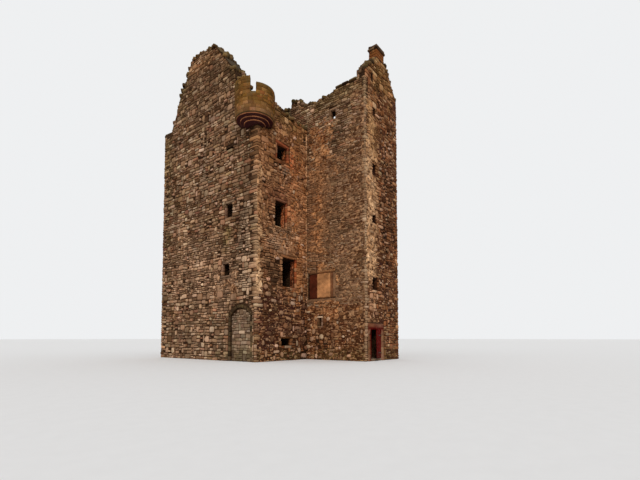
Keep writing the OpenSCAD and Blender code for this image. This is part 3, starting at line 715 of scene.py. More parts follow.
FRAMELESS = ["front_window_first", "front_window_second", "front_vent"]
BIG = {"height": (0.09, 0.23), "ratio": (0.8, 2.7), "proud": (0.015, 0.085), "thin": 0.22,
       "tall": 0.15, "joint": 0.028, "cut": 0.60}
FLAT = {"height": (0.06, 0.15), "ratio": (1.2, 3.6), "proud": (0.010, 0.050), "joint": 0.016,
        "plain": True}
WIDE = {**BIG, "height": (0.12, 0.29), "ratio": (1.0, 2.8), "thin": 0.18, "tall": 0.14,
        "plain": True}
LOW = {"height": (0.08, 0.20), "ratio": (0.8, 2.4), "proud": (0.020, 0.070), "thin": 0.20,
       "tall": 0.12, "joint": 0.030, "cut": 0.65}
PEBBLE = [(0.260, 0.114, 0.047, 3), (0.160, 0.056, 0.021, 3), (0.390, 0.215, 0.108, 2),
          (0.080, 0.026, 0.009, 1.8)]
BOULDER_TOP = 3.2
face_wall("left_gable_stones", on_left, DEPTH, 19.95, WALLS + ["left_gable_windows"], BROWN,
          left_stains, 11, boulders=[(0.3, 9.2, 0.0, 16.0, 110, 0.14, 0.30)], **BIG)
face_wall("front_stones", on_front, 4.4, 15.4, WALLS + FRAMELESS, RED, front_stains, 12,
          boulders=[(0.3, 4.2, 0.0, 4.3, 140, 0.16, 0.52), (0.3, 4.2, 4.3, 14.0, 70, 0.16, 0.36)],
          **BIG)
face_wall("right_gable_stones", on_right, DEPTH, 19.3, WALLS, BROWN, right_stains, 13, **WIDE)
face_wall("back_stones", on_back, LENGTH, 16.4, WALLS, BROWN, back_stains, 14, **WIDE)
face_wall("wing_left_boulders", on_wing_left, 4.4, BOULDER_TOP, WING, PEBBLE, wing_left_stains, 19,
          boulders=[(2.2, 4.1, 0.0, 2.9, 90, 0.16, 0.46), (0.1, 2.2, 0.0, 2.2, 26, 0.14, 0.34)],
          **LOW)
face_wall("wing_left_stones", on_wing_left, 5.8, 17.5, WING, BROWN, wing_left_stains, 15,
          low=BOULDER_TOP, **FLAT)
face_wall("wing_front_stones", on_wing_front, WING_W, 18.8, WING + ["wing_front_windows"], RED,
          wing_front_stains, 16, boulders=[(1.5, 4.2, 2.4, 15.0, 150, 0.12, 0.28)], **BIG)
face_wall("wing_right_stones", on_wing_right, WING_OUT, 17.5, WING, BROWN, wing_right_stains, 17,
          **WIDE)

# Lime harl
# What is left of the tower's old coat: some centimetres of lime and grit that cling to the
# angle between block and wing, to the front corners and round a low window. Thinner sheets
# of mortar and limewash fill the joints of the faces beside them.


def harl_finish():
    """Tan lime with embedded grit, hairline cracks and rain marks."""
    look = Finish("lime_harl", rough=0.95)
    paint = look.node("Attribute", attribute_name="paint").outputs["Color"]
    grit = look.noise(70.0, 5.0, 0.7)
    cloud = look.noise(2.3, 5.0, 0.6)
    pebble = look.noise(5.5, 4.0, 0.6, look.stretched(1.0, 1.0, 1.7))
    rain = look.noise(1.0, 5.0, 0.65, look.stretched(5.0, 5.0, 0.5))
    crack = look.cells(2.2, "DISTANCE_TO_EDGE").outputs[0]
    colour = look.mix(look.rise(cloud, 0.35, 0.65), (0.52, 0.46, 0.40), (1.50, 1.42, 1.32))
    colour = look.mix(1.0, paint, colour, "MULTIPLY")
    colour = look.mix(look.rise(pebble, 0.40, 0.51, 0.95, 0.0), colour, (0.055, 0.016, 0.005))
    colour = look.wash(colour, pebble, 0.54, 0.64, (0.600, 0.320, 0.155), 0.75)
    colour = look.wash(colour, rain, 0.50, 0.72, (0.105, 0.055, 0.028), 0.6)
    colour = look.wash(colour, grit, 0.60, 0.72, (0.10, 0.062, 0.038), 0.5)
    colour = look.mix(look.rise(crack, 0.0, 0.012, 0.55, 0), colour, (0.05, 0.028, 0.015))
    return look.done(colour, look.bump(look.calc("ADD", grit, pebble), 0.02))


harl_material = harl_finish()
REDDER = np.array((1.0, 1.3, 1.6))
SUNK, SEAT, TROWEL, PAST, SWELL = -0.01, 0.018, 0.006, -0.02, 0.35


def grid_quads(shape):
    """The corners of each quad of a grid of points."""
    index = np.arange(shape[0] * shape[1]).reshape(shape)
    return np.stack([index[:-1, :-1], index[:-1, 1:], index[1:, 1:], index[1:, :-1]], -1)


def harl_patch(name, face, box, nodes, tone, seed, laid, stains=(), reach=REACH):
    """A ragged sheet over box = (u0, u1, v0, v1): a grid whose height swells from below
    the stones at its torn edge to the coat's thickness inside, with a trowelled wave.
    laid is (how much waves tear off and leave as holes, how far in the edge fades,
    thickness, grid size). The wall is looked for from reach away, and nothing is laid
    past the arris at u = 0 or under the ground. Its tone is mottled by waves, to the
    power REDDER, so the dark parts are redder."""
    torn, fade, thick, size = laid
    u0, u1, v0, v1 = box
    us, vs = np.arange(u0, u1 + size, size), np.arange(v0, v1 + size, size)
    grid = np.stack(np.broadcast_arrays(us[None, :], vs[:, None], 0.0), -1)
    there = face.place(grid)
    edge = np.minimum(np.minimum(grid[..., 0] - u0, u1 - grid[..., 0]),
                      np.minimum(grid[..., 1] - v0, v1 - grid[..., 1])) / fade
    share = edge.clip(0, 1) - torn * (0.5 + 0.5 * waves(there, 1.4, seed)
                                      + 0.45 * waves(there, 8.0, seed + 1)).clip(0, 1.6)
    solid = solid_map(face.place, face.out, u1, 0.0, v1, nodes, reach)
    face_u = ((us[:-1] + us[1:]) / 2 / STEP).astype(int).clip(0, solid.shape[1] - 1)
    face_v = ((vs[:-1] + vs[1:]) / 2 / STEP).astype(int).clip(0, solid.shape[0] - 1)
    keep = solid[face_v][:, face_u] & (share[:-1, :-1] > 0) & (share[1:, 1:] > 0)
    keep &= (us[:-1] > PAST) & (vs[:-1, None] > PAST)
    inside = np.zeros(share.shape, bool)
    inside[1:-1, 1:-1] = keep[:-1, :-1] & keep[1:, :-1] & keep[:-1, 1:] & keep[1:, 1:]
    swell = share.clip(0, SWELL) / SWELL
    coat = SEAT + thick * swell + TROWEL * waves(there, 11.0, seed + 2)
    grid[..., 2] = np.where(inside, coat, SUNK)
    used, quads = np.unique(grid_quads(share.shape)[keep], return_inverse=True)
    points = face.place(grid).reshape(-1, 3)[used]
    thin = (1 - swell).reshape(-1)[used][:, None]
    mottle = 1 + 0.26 * waves(points, 2.2, seed + 3) + 0.26 * waves(points, 7.0, seed + 4)
    paint = np.array(tone) * mottle.clip(0.3, 1.7)[:, None] ** REDDER * (1 - 0.45 * thin)
    for i, (centre, extent, colour, strength) in enumerate(stains_on(face, stains)):
        part = near_stain(points, centre, extent, 60 + 2 * i)[:, None] * strength
        paint = paint * (1 - part) + np.array(colour) * part
    joined_mesh(name, points, [quads.reshape(-1, 4)], face.flip, paint.clip(0.01, 0.9),
                harl_material)


# (name, face, box, nodes, tone, seed, (torn, fade, thick, size), stains)
for name, face, box, nodes, tone, seed, laid, stains in (
        ("wing_harl", on_wing_left, (1.7, 4.6, 2.4, 15.2), WING, (0.370, 0.160, 0.062), 31,
         (0.66, 1.3, 0.012, 0.055),
         [(-5.2, 12.0, 1.2, 2.4, (0.33, 0.17, 0.08), 0.6),
          (-6.6, 9.0, 0.9, 6.0, (0.185, 0.098, 0.050), 0.8)]),
        ("wing_limewash", on_wing_left, (0.15, 3.6, 2.6, 14.0), WING, (0.195, 0.102, 0.052), 36,
         (1.0, 1.2, 0.002, 0.08), []),
        ("angle_harl", on_front, (2.2, 4.6, 2.6, 13.6), WALLS, (0.400, 0.165, 0.060), 32,
         (0.88, 0.9, 0.008, 0.055),
         [(-0.3, 8.6, 0.6, 1.2, (0.24, 0.09, 0.05), 0.7)]),
        ("angle_fillet", on_front, (4.16, 4.50, 5.0, 14.6), WALLS, (0.380, 0.200, 0.100), 37,
         (0.24, 0.09, 0.06, 0.055), []),
        ("wing_corner_mortar", on_wing_left, (-0.4, 1.5, 1.6, 16.4), WING, (0.200, 0.106, 0.054),
         28, (0.55, 0.6, 0.008, 0.08), []),
        ("wing_front_mortar", on_wing_front, (-0.3, 4.6, -0.5, 17.2), WING, (0.060, 0.020, 0.006),
         29, (0.95, 0.6, 0.004, 0.08),
         [(0.7, 8.0, 1.0, 8.0, (0.30, 0.16, 0.08), 0.8)]),
        ("wing_front_harl", on_wing_front, (-0.2, 1.55, 4.0, 15.8), WING, (0.540, 0.320, 0.170),
         33, (0.52, 0.8, 0.036, 0.055),
         [(0.8, 14.0, 1.2, 2.0, (0.36, 0.19, 0.07), 0.7),
          (1.6, 9.0, 0.5, 6.0, (0.24, 0.13, 0.06), 0.6)]),
        ("low_window_harl", on_left, (1.3, 3.9, 3.4, 5.6), WALLS, (0.280, 0.165, 0.098), 34,
         (0.80, 0.6, 0.03, 0.055), []),
        ("front_mortar", on_front, (-0.3, 4.7, 3.4, 15.4), WALLS, (0.310, 0.145, 0.066), 38,
         (0.92, 0.6, 0.004, 0.08),
         [(-3.1, 4.5, 1.0, 1.6, (0.050, 0.019, 0.007), 0.9)]),
        ("front_low_mortar", on_front, (-0.3, 4.7, -0.5, 4.6), WALLS, (0.046, 0.015, 0.005), 39,
         (0.80, 0.6, 0.006, 0.08), [(-1.4, 0.2, 3.2, 0.6, GREEN, 0.5)]),
        ("wing_low_mortar", on_wing_left, (-0.3, 4.7, -0.5, 3.7), WING, (0.085, 0.030, 0.010), 27,
         (0.70, 0.6, 0.006, 0.08), [(-7.0, 0.2, 2.6, 0.6, GREEN, 0.5)]),
        ("low_angle_harl", on_wing_left, (1.5, 4.2, 1.5, 4.2), WING, (0.350, 0.150, 0.060), 41,
         (0.95, 0.6, 0.012, 0.08), []),
        ("corner_harl", on_front, (-0.10, 0.60, 3.8, 11.4), WALLS, (0.610, 0.385, 0.215), 35,
         (0.62, 0.35, 0.035, 0.055),
         [(-3.9, 9.4, 0.8, 2.4, (0.34, 0.17, 0.08), 0.6)])):
    harl_patch(name, face, box, nodes, tone, seed, laid, stains)

# Window dressings
# Each opening is framed in sandstone: a lintel, a sill and stacked jamb stones one or two
# hands wide, redder on the front. Some are replaced in the brown stone of the wall.

ROSE = [(0.330, 0.120, 0.062, 3), (0.260, 0.092, 0.050, 2), (0.380, 0.170, 0.100, 1)]
DRESSED = [(0.300, 0.180, 0.115, 3), (0.250, 0.150, 0.100, 2), (0.200, 0.110, 0.070, 1)]
DRESS_DEPTH, DRESS_FOOT = 0.26, 0.22
WIDE_MARGIN, NARROW_MARGIN = 0.19, 0.11


def window_dressing(name, node, face, windows, side, palette, seed, plain=(), wall=BROWN,
                    proud=(0.006, 0.045)):
    """Stones round each (middle, sill, width, height), side wide, proud of the wall by a
    draw, or behind its face where the rubble runs over them. The sides named in plain
    (left, right, head, sill), and one stone in seven, take the colours of the wall."""
    rng = np.random.default_rng(seed)
    cells, sides = [], []
    for u, sill, w, h in windows:
        a, b = u - w / 2, u + w / 2
        at = rng.uniform(0.35, 0.65) * w + a
        cells += [(a - side, b + side, sill + h, sill + h + side),
                  (a - side, at, sill - side, sill), (at, b + side, sill - side, sill)]
        sides += ["head", "sill", "sill"]
        for x0, x1, where in ((a - side, a, "left"), (b, b + side, "right")):
            count = max(1, int(round(h / rng.uniform(0.18, 0.30))))
            cuts = np.linspace(0, h, count + 1)
            cuts[1:-1] += rng.uniform(-0.05, 0.05, count - 1)
            cells += [(x0, x1, sill + p, sill + q) for p, q in zip(cuts, cuts[1:])]
            sides += [where] * count
    cells = np.array(cells)
    old = np.isin(sides, plain) | (rng.random(len(sides)) < 0.15)
    proud = rng.uniform(*proud, len(cells))
    bevel = rng.uniform(0.014, 0.034, len(cells))
    rings = [(0.004, -DRESS_DEPTH), (0, -DRESS_FOOT), (0, proud - bevel * 0.6), (bevel, proud)]
    local, faces = ring_stones(half_sizes(cells, 0.004), rings, rng, 0.24, BOTH_ENDS)
    move_to(cells, local)
    points = face.place(local)
    paint = paint_stones(points, rng, palette, (), spread=0.16)
    paint[old] = paint_stones(points[old], rng, wall, ())
    stone_piece(name, points, faces, face.flip, paint, node)


from_angle = Face(WING_X, FRONT_Y, -NORTH, -EAST)
from_right_angle = Face(RIGHT_X, FRONT_Y, -NORTH, EAST)
UNDER = (-0.045, -0.030)
FIRST_SILL, FIRST_H = 4.42, 1.78
SECOND_SILL, SECOND_H = 7.96, 1.60
THIRD_SILL, THIRD_H = 12.06, 0.93
EMBER = [(0.400, 0.115, 0.038, 2), (0.270, 0.070, 0.028, 2), (0.430, 0.200, 0.100, 1)]
SHADED = [(0.030, 0.010, 0.005, 2), (0.060, 0.022, 0.010, 1)]
window_dressing("front_first_dressing", "front_window_first", on_front,
                [(2.75, FIRST_SILL, 1.3, FIRST_H)], WIDE_MARGIN, EMBER, 51,
                plain=("head", "sill", "left"), wall=RED, proud=UNDER)
window_dressing("front_second_dressing", "front_window_second", on_front,
                [(2.0, SECOND_SILL, 1.06, SECOND_H)], WIDE_MARGIN, EMBER, 52,
                plain=("sill", "left"), wall=RED, proud=UNDER)
window_dressing("front_third_dressing", "front_window_third", on_front,
                [(2.13, THIRD_SILL, 0.9, THIRD_H)], WIDE_MARGIN, EMBER, 53,
                plain=("sill",), wall=RED, proud=UNDER)
window_dressing("vent_dressing", "front_vent", on_front, [(2.5, 0.88, 0.9, 0.43)], WIDE_MARGIN,
                RED, 54, proud=UNDER)
window_dressing("left_gable_dressing", "left_gable_windows", on_left,
                [(2.64, 5.06, 0.7, 0.72), (2.42, 8.54, 0.72, 0.86)], WIDE_MARGIN, DRESSED, 55,
                proud=UNDER)


def lining(name, x, sill, height, tone, seed, reach):
    """Old lime on a front window's far jamb, where it splays inwards from its dressed
    stones, which end at x."""
    jamb = Face(x, FRONT_Y + DRESS_DEPTH, ALONG_SPLAY, OUT_OF_SPLAY)
    harl_patch(name, jamb, (-0.04, 0.46, sill - 0.03, sill + height + 0.03), ["front_wall"],
               tone, seed, (0.3, 0.12, 0.004, 0.055), reach=reach)


ALONG_SPLAY, OUT_OF_SPLAY = np.array((0.2385, 0.9711, 0)), np.array((-0.9711, 0.2385, 0))
lining("first_lining", -0.75, FIRST_SILL, FIRST_H, (0.330, 0.090, 0.036), 140, 1.0)
lining("second_lining", -1.62, SECOND_SILL, SECOND_H, (0.380, 0.100, 0.034), 145, 0.8)
lining("third_lining", -1.57, THIRD_SILL, THIRD_H, (0.450, 0.135, 0.045), 150, 0.6)
window_dressing("right_gable_dressing", "right_gable_windows", on_right,
                [(5.2, sill, 0.7, 0.86) for sill in (4.9, 8.36)], WIDE_MARGIN, DRESSED, 56)
window_dressing("back_dressing", "back_windows", on_back,
                [(4.15, sill, 0.9, 1.2) for sill in (4.2, 7.78, 11.88)], WIDE_MARGIN, ROSE, 57)
window_dressing("wing_front_dressing", "wing_front_windows", on_wing_front,
                [(0.98, 4.26, 0.52, 0.54), (0.98, 8.24, 0.35, 0.42), (0.98, 11.24, 0.35, 0.52),
                 (0.99, 14.82, 0.34, 0.40)], NARROW_MARGIN, SHADED, 58, wall=SHADED, proud=UNDER)
window_dressing("wing_left_dressing", "wing_side_windows", from_angle,
                [(2.1, 14.9, 0.37, 0.62), (1.08, 2.08, 0.2, 0.5)], NARROW_MARGIN, DRESSED, 59,
                plain=("head", "sill", "left"))
window_dressing("wing_right_dressing", "wing_side_windows", from_right_angle,
                [(1.9, sill, 0.35, 0.52) for sill in (4.26, 8.24, 11.24)], NARROW_MARGIN,
                DRESSED, 60)

# Relieving arch
# A low arch by the turret corner, turned in thin dark slabs on edge and later walled up
# in grey rubble with one tall slit.

ARCH_U, ARCH_HALF, ARCH_R, ARCH_CROWN, ARCH_RING = 1.25, 0.85, 0.96, 3.07, 0.18
ARCH_SLABS, LEG_SLABS, SLAB_GAP = 23, 9, 0.007
DARK_SLAB = [(0.085, 0.055, 0.026, 2), (0.060, 0.036, 0.018, 2), (0.150, 0.098, 0.052, 1)]


def arch_stones():
    """Slabs along the arch: a run of stones whose middles follow the curve and whose own
    axes turn with it, and stacked stones on the two legs below it."""
    rng = np.random.default_rng(61)
    rise, mid_r = ARCH_CROWN - ARCH_R, ARCH_R + ARCH_RING / 2
    end = math.asin(ARCH_HALF / ARCH_R)
    bounds = np.linspace(-end, end, ARCH_SLABS + 1)
    bounds[1:-1] += rng.uniform(-0.014, 0.014, ARCH_SLABS - 1)
    angle = (bounds[1:] + bounds[:-1]) / 2
    half = np.stack([np.diff(bounds) * mid_r / 2 - SLAB_GAP,
                     rng.uniform(0.92, 1.0, ARCH_SLABS) * ARCH_RING / 2], 1)
    foot = rise + ARCH_R * math.cos(end)
    leg = [foot / LEG_SLABS / 2 - SLAB_GAP, ARCH_RING / 2]
    side = np.repeat((-1, 1), LEG_SLABS)
    angle = np.concatenate([angle, side * math.pi / 2])
    half = np.concatenate([half, np.tile(leg, (2 * LEG_SLABS, 1))])
    proud = rng.uniform(0.02, 0.05, len(half))
    rings = [(0, -0.28), (0, proud * 0.5), (0.012, proud)]
    local, faces = ring_stones(half, rings, rng, 0.16, BOTH_ENDS)
    turn_u = np.stack([np.cos(angle), -np.sin(angle)], 1)
    turn_v = np.stack([np.sin(angle), np.cos(angle)], 1)
    middle = np.stack([ARCH_U + mid_r * np.sin(angle), rise + mid_r * np.cos(angle)], 1)
    middle[ARCH_SLABS:, 0] = ARCH_U + side * (ARCH_HALF + ARCH_RING / 2)
    middle[ARCH_SLABS:, 1] = np.tile((np.arange(LEG_SLABS) + 0.5) / LEG_SLABS * foot, 2)
    flat = (local[..., :1] * turn_u[:, None] + local[..., 1:2] * turn_v[:, None]) + middle[:, None]
    points = on_left.place(np.concatenate([flat, local[..., 2:]], -1))
    points[..., 2] = points[..., 2].clip(0.0, None)
    paint = paint_stones(points, rng, DARK_SLAB, ())
    stone_piece("arch_slabs", points, faces, on_left.flip, paint,
                "relieving_arch")


arch_stones()
GREY = [(0.255, 0.172, 0.112, 3), (0.190, 0.120, 0.074, 2), (0.350, 0.255, 0.175, 1.2)]
INSET = 0.09
dress(["arch_infill"], core_material)
face_wall("arch_infill_stones", Face(LEFT_X + INSET, FRONT_Y, NORTH, -EAST), 2.6, 3.2,
          ["arch_infill"], GREY, stains_on(on_left, [(-3.4, 0.2, 2.0, 0.8, GREEN, 0.5)]), 62,
          height=(0.10, 0.24), ratio=(1.0, 2.4), proud=(0.01, 0.04), slot="infill")

# Blocked window
# A big window in the wing beside the angle, built up flush: a smooth tan plaster panel
# between a maroon recess darkened by painted shade and a strip darkened as painted shadow, with
# thin stone margins.

plaster_material = stone_finish("old_plaster", spots=0.0)
CELL = 0.05


def rough_slabs(name, node, rows):
    """Slabs (u0, u1, v0, v1, depth, inset, colour): grids on a box's front, waved in and
    out and mottled, closed by rings at the edges."""
    points, faces, paint, start = [], [], [], 0
    for u0, u1, v0, v1, depth, inset, colour in rows:
        us = np.linspace(u0, u1, max(3, int((u1 - u0) / CELL)))
        vs = np.linspace(v0, v1, max(3, int((v1 - v0) / CELL)))
        grid = np.stack(np.broadcast_arrays(us[None], vs[:, None], -inset), -1)
        grid[..., 2] += 0.008 * waves(grid * 3, 4.0, 64)
        rim = np.ones(grid.shape[:2], bool)
        rim[1:-1, 1:-1] = False
        grid[..., 2] = np.where(rim, -inset - depth, grid[..., 2])
        faces.append(grid_quads(rim.shape).reshape(-1, 4) + start)
        points.append(grid.reshape(-1, 3))
        paint.append(np.tile(colour, (rim.size, 1)))
        start += rim.size
    points, paint = from_angle.place(np.concatenate(points)), np.concatenate(paint)
    paint *= 1 + (0.24 * waves(points, 2.4, 65) + 0.20 * waves(points, 9.0, 66))[:, None]
    joined_mesh(name, points, [np.concatenate(faces)], from_angle.flip, paint.clip(0.004, 0.9),
                plaster_material, node)


rough_slabs("blocked_window_plaster", "blocked_window_panel",
            [(0.78, 1.81, 3.80, 5.38, 0.158, 0.000, (0.480, 0.220, 0.090))])
rough_slabs("blocked_window_stones", "blocked_window_margin",
            [(0.00, 2.39, 3.52, 3.80, 0.16, -0.016, (0.235, 0.120, 0.060)),
             (0.00, 0.78, 5.38, 5.66, 0.16, -0.016, (0.235, 0.110, 0.050)),
             (0.78, 2.39, 5.38, 5.66, 0.16, -0.010, (0.370, 0.175, 0.075)),
             # The strip at the panel's right edge: darker paint as its painted shadow.
             (1.81, 2.02, 3.80, 5.38, 0.16, 0.014, (0.170, 0.068, 0.030)),
             (2.02, 2.39, 3.80, 5.38, 0.16, -0.016, (0.220, 0.114, 0.058)),
             # The maroon recess at the left, darkened with painted shade of a deep recess.
             (0.09, 0.78, 3.80, 5.38, 0.06, 0.100, (0.082, 0.017, 0.007))])

# Turret
# A round bartizan of small squared blocks on moulded rings, all under yellow and orange
# lichen. The rings are carved rolls with a deep quirk over each.

TURRET = np.array([LEFT_X + 0.10, FRONT_Y + 0.30, 0.0])
TURRET_R = 1.15
TURRET_LOW, TURRET_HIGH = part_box("turret_wall")[0][2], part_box("turret_wall")[1][2]
LICHEN = [(0.175, 0.084, 0.018, 3), (0.150, 0.068, 0.014, 3), (0.215, 0.108, 0.032, 2),
          (0.200, 0.078, 0.020, 1), (0.120, 0.054, 0.011, 1)]
BED_R = TURRET_R - 0.03
RINGS, STEP_OUT = 3, 0.22
ROLL, QUIRK = 0.43, 0.012
RUN, STONE_RUN, SHIFT, JOINT_DEPTH, JOINT_WIDTH = 3.1, 1.55, 0.8, 0.016, 0.010
SHADOW, SUNLIT = np.array((0.042, 0.009, 0.004)), np.array((0.700, 0.280, 0.125))


def bent(r, turn, high):
    """Points at the radius, angle and height round the turret's axis."""
    return TURRET + np.stack([r * np.cos(turn), r * np.sin(turn), high], -1)


def round_place(local):
    """Bends (u, v, w) round the turret: u is the way along its face, v up, w outwards."""
    turn = local[..., 0] / TURRET_R + math.radians(90)
    return bent(TURRET_R + local[..., 2], turn, local[..., 1])


def round_out(local):
    """The outward direction at (u, v, w)."""
    turn = local[..., 0] / TURRET_R + math.radians(90)
    return np.stack([np.cos(turn), np.sin(turn), 0 * turn], -1)


def turret_core():
    """The CAD wall with its outside drawn in to BED_R, as the bed of the blocks."""
    co, tri = cad_shape("turret_wall")
    away = co - TURRET
    r = np.hypot(away[:, 0], away[:, 1])
    scale = np.minimum(1.0, BED_R / r)
    co[:, :2] = TURRET[:2] + away[:, :2] * scale[:, None]
    paint = np.tile((0.150, 0.094, 0.038), (len(co), 1))
    stone_piece("turret_core", co, [tri], False, paint, "turret_wall")


def turret_blocks():
    """Squared blocks in even courses over the turret's outside."""
    rng = np.random.default_rng(71)
    solid = solid_map(round_place, round_out, TURRET_R * math.radians(262), TURRET_LOW,
                      TURRET_HIGH, ["turret_wall"])
    cells = lay_courses(solid, TURRET_LOW, rng, height=(0.20, 0.20), ratio=(0.9, 1.9),
                        tall=0.0, thin=0.05)
    half = half_sizes(cells, 0.006)
    sink = -rng.uniform(0.002, 0.014, len(cells))
    local, faces = ring_stones(half, [(0, -0.05), (0, -0.018), (0.010, sink)], rng, cut=0.10)
    local[:, 16:, 2] = np.minimum(local[:, 16:, 2], 0.0)
    move_to(cells, local)
    points = round_place(local)
    stains = [((TURRET[0], TURRET[1], 13.8), (2.0, 2.0, 0.45), (0.330, 0.185, 0.115), 0.6),
              ((TURRET[0], TURRET[1], 15.5), (2.0, 2.0, 0.5), (0.200, 0.124, 0.036), 0.8),
              ((TURRET[0] + 0.7, TURRET[1] - 0.9, 14.7), (0.6, 0.6, 0.3), (0.36, 0.14, 0.06), 0.5)]
    paint = paint_stones(points, rng, LICHEN, stains, spread=0.12)
    # Lightens the painted joint shade on the two rings nearest the joint of these close-set
    # blocks.
    paint[:, :16] *= 2.1
    stone_piece("turret_blocks", points, faces, False, paint)


def turret_rings():
    """The moulding: rolls over flat soffits, each STEP_OUT further out, turned about the
    turret's axis and eaten a little by the weather. Narrow joints cut it into stones of
    half a radian (STONE_RUN over RUN), which shift from ring to ring."""
    ring_h = (TURRET_LOW - RING_LOW) / RINGS
    roll = ring_h * ROLL
    profile, pale = [(0.02, 0.0)], [0.0]
    for i in range(RINGS):
        r, z = TURRET_R - 0.09 - (RINGS - 1 - i) * STEP_OUT, i * ring_h
        for turn in np.radians(np.linspace(-90, 90, 9)):
            profile.append((r - roll + roll * math.cos(turn), z + roll + roll * math.sin(turn)))
            pale.append(max(0.0, math.cos(turn - 0.1)) ** 1.8)
        profile.append((r - roll - QUIRK, z + 2 * roll + 0.003))
        profile.append((r - roll - QUIRK, z + ring_h))
        pale += [0.0, 0.0]
    profile.append((0.02, RINGS * ring_h))
    profile, pale = np.array(profile), np.array(pale + [0.0])
    angles = np.radians(np.linspace(92, 350, 260))[:, None]
    r = np.repeat(profile[None, :, 0], len(angles), 0)
    z = np.broadcast_to(profile[None, :, 1], r.shape) + RING_LOW
    ring = (z - RING_LOW - 0.001) // ring_h
    joint = np.abs(((angles * RUN + ring * SHIFT) % STONE_RUN) - STONE_RUN / 2) * r / RUN
    outside = r > 0.3
    r = np.where(outside, r - JOINT_DEPTH * np.exp(-(joint / JOINT_WIDTH) ** 2), r)
    points = bent(r, angles, z)
    wear = 0.008 * waves(points, 5.0, 72) + 0.005 * waves(points, 17.0, 73) - 0.006
    r = np.where(outside, r + np.minimum(wear, 0.0), r)
    points = bent(r, angles, z)
    quads = grid_quads(r.shape)[..., [0, 3, 2, 1]].reshape(-1, 4)
    share = (pale * (0.8 + 0.3 * waves(points, 4.0, 74)))[..., None].clip(0, 1)
    paint = (SHADOW * (1 - share) + SUNLIT * share).clip(0.01, 0.9)
    stone_piece("turret_rings", points, [quads], False, paint, "turret_corbels")


turret_core()
turret_blocks()
turret_rings()

# Broken wall tops
# The core of the gables and wallheads lies bare where slates and copes have gone: loose
# and half-bedded stones with moss and lichen between them.


MOSSY = [(0.190, 0.125, 0.055, 3), (0.130, 0.090, 0.036, 3), (0.230, 0.150, 0.095, 2),
         (0.080, 0.056, 0.026, 2)]
ABOVE, LOWEST_TOP, WALL = 21.0, 14.5, 1.4


def top_stones(name, nodes, area, seed, gap=0.20, size=(0.09, 0.24), lift=(0.03, 0.11),
               stains=()):
    """Stones bedded on whatever of the nodes is met from above on a shaken grid, each
    one turned at random and standing up by its own height."""
    rng = np.random.default_rng(seed)
    x0, x1, y0, y1 = area
    crest = cad_high[2] - 0.01
    gx, gy = np.meshgrid(np.arange(x0 + 0.05, x1, gap), np.arange(y0 + 0.05, y1, gap))
    spots = np.stack([gx.ravel(), gy.ravel()], 1) + rng.uniform(-0.45, 0.45, (gx.size, 2)) * gap
    tops = []
    for x, y in spots:
        hit = cad_tree.ray_cast(Vector((x, y, ABOVE)), Vector((0, 0, -1)), ABOVE - LOWEST_TOP)
        if hit[0] is not None and cad_owner[hit[2]] in nodes:
            tops.append(hit[0][:])
    tops = np.array(tops)
    n = len(tops)
    half = rng.uniform(*size, (n, 2)) * np.array([1.0, 0.75])
    rise = rng.uniform(*lift, n)
    rise = np.minimum(rise, crest - 0.02 - tops[:, 2]).clip(0.01, None)
    rings = [(0.02, -0.16), (0, -0.04), (0, rise * 0.55), (0.035, rise)]
    local, faces = ring_stones(half, rings, rng, cut=0.5)
    turn = rng.uniform(0, math.pi, n)[:, None]
    x = local[..., 0] * np.cos(turn) - local[..., 1] * np.sin(turn)
    y = local[..., 0] * np.sin(turn) + local[..., 1] * np.cos(turn)
    points = tops[:, None] + np.stack([x, y, local[..., 2]], -1)
    points = points.clip((cad_low[0], cad_low[1], 0.0), (cad_high[0], cad_high[1], crest))
    stone_piece(name, points, faces, False, paint_stones(points, rng, MOSSY, stains))


top_stones("left_gable_top", ["left_gable_wall"], (LEFT_X, LEFT_X + WALL, FRONT_Y, BACK_Y), 81,
           stains=[((LEFT_X, 0.2, 19.4), (2.0, 2.0, 0.8), ORANGE, 0.4)])
top_stones("right_gable_top", ["right_gable_wall"], (RIGHT_X - WALL, RIGHT_X, FRONT_Y, BACK_Y), 82)
top_stones("wallhead_tops", ["front_wall", "back_wall"], (LEFT_X, RIGHT_X, FRONT_Y, BACK_Y), 83)
top_stones("wing_tops", ["wing_left_wall", "wing_right_wall", "wing_front_wall", "wing_gable",
                         "wing_return"], (WING_X, RIGHT_X, WING_Y, FRONT_Y + WALL), 84, gap=0.17,
           size=(0.08, 0.17), lift=(0.02, 0.09))

# Wing chimney
# A slim stack on the wing gable: squared blocks round one flue, under a two-course cap.


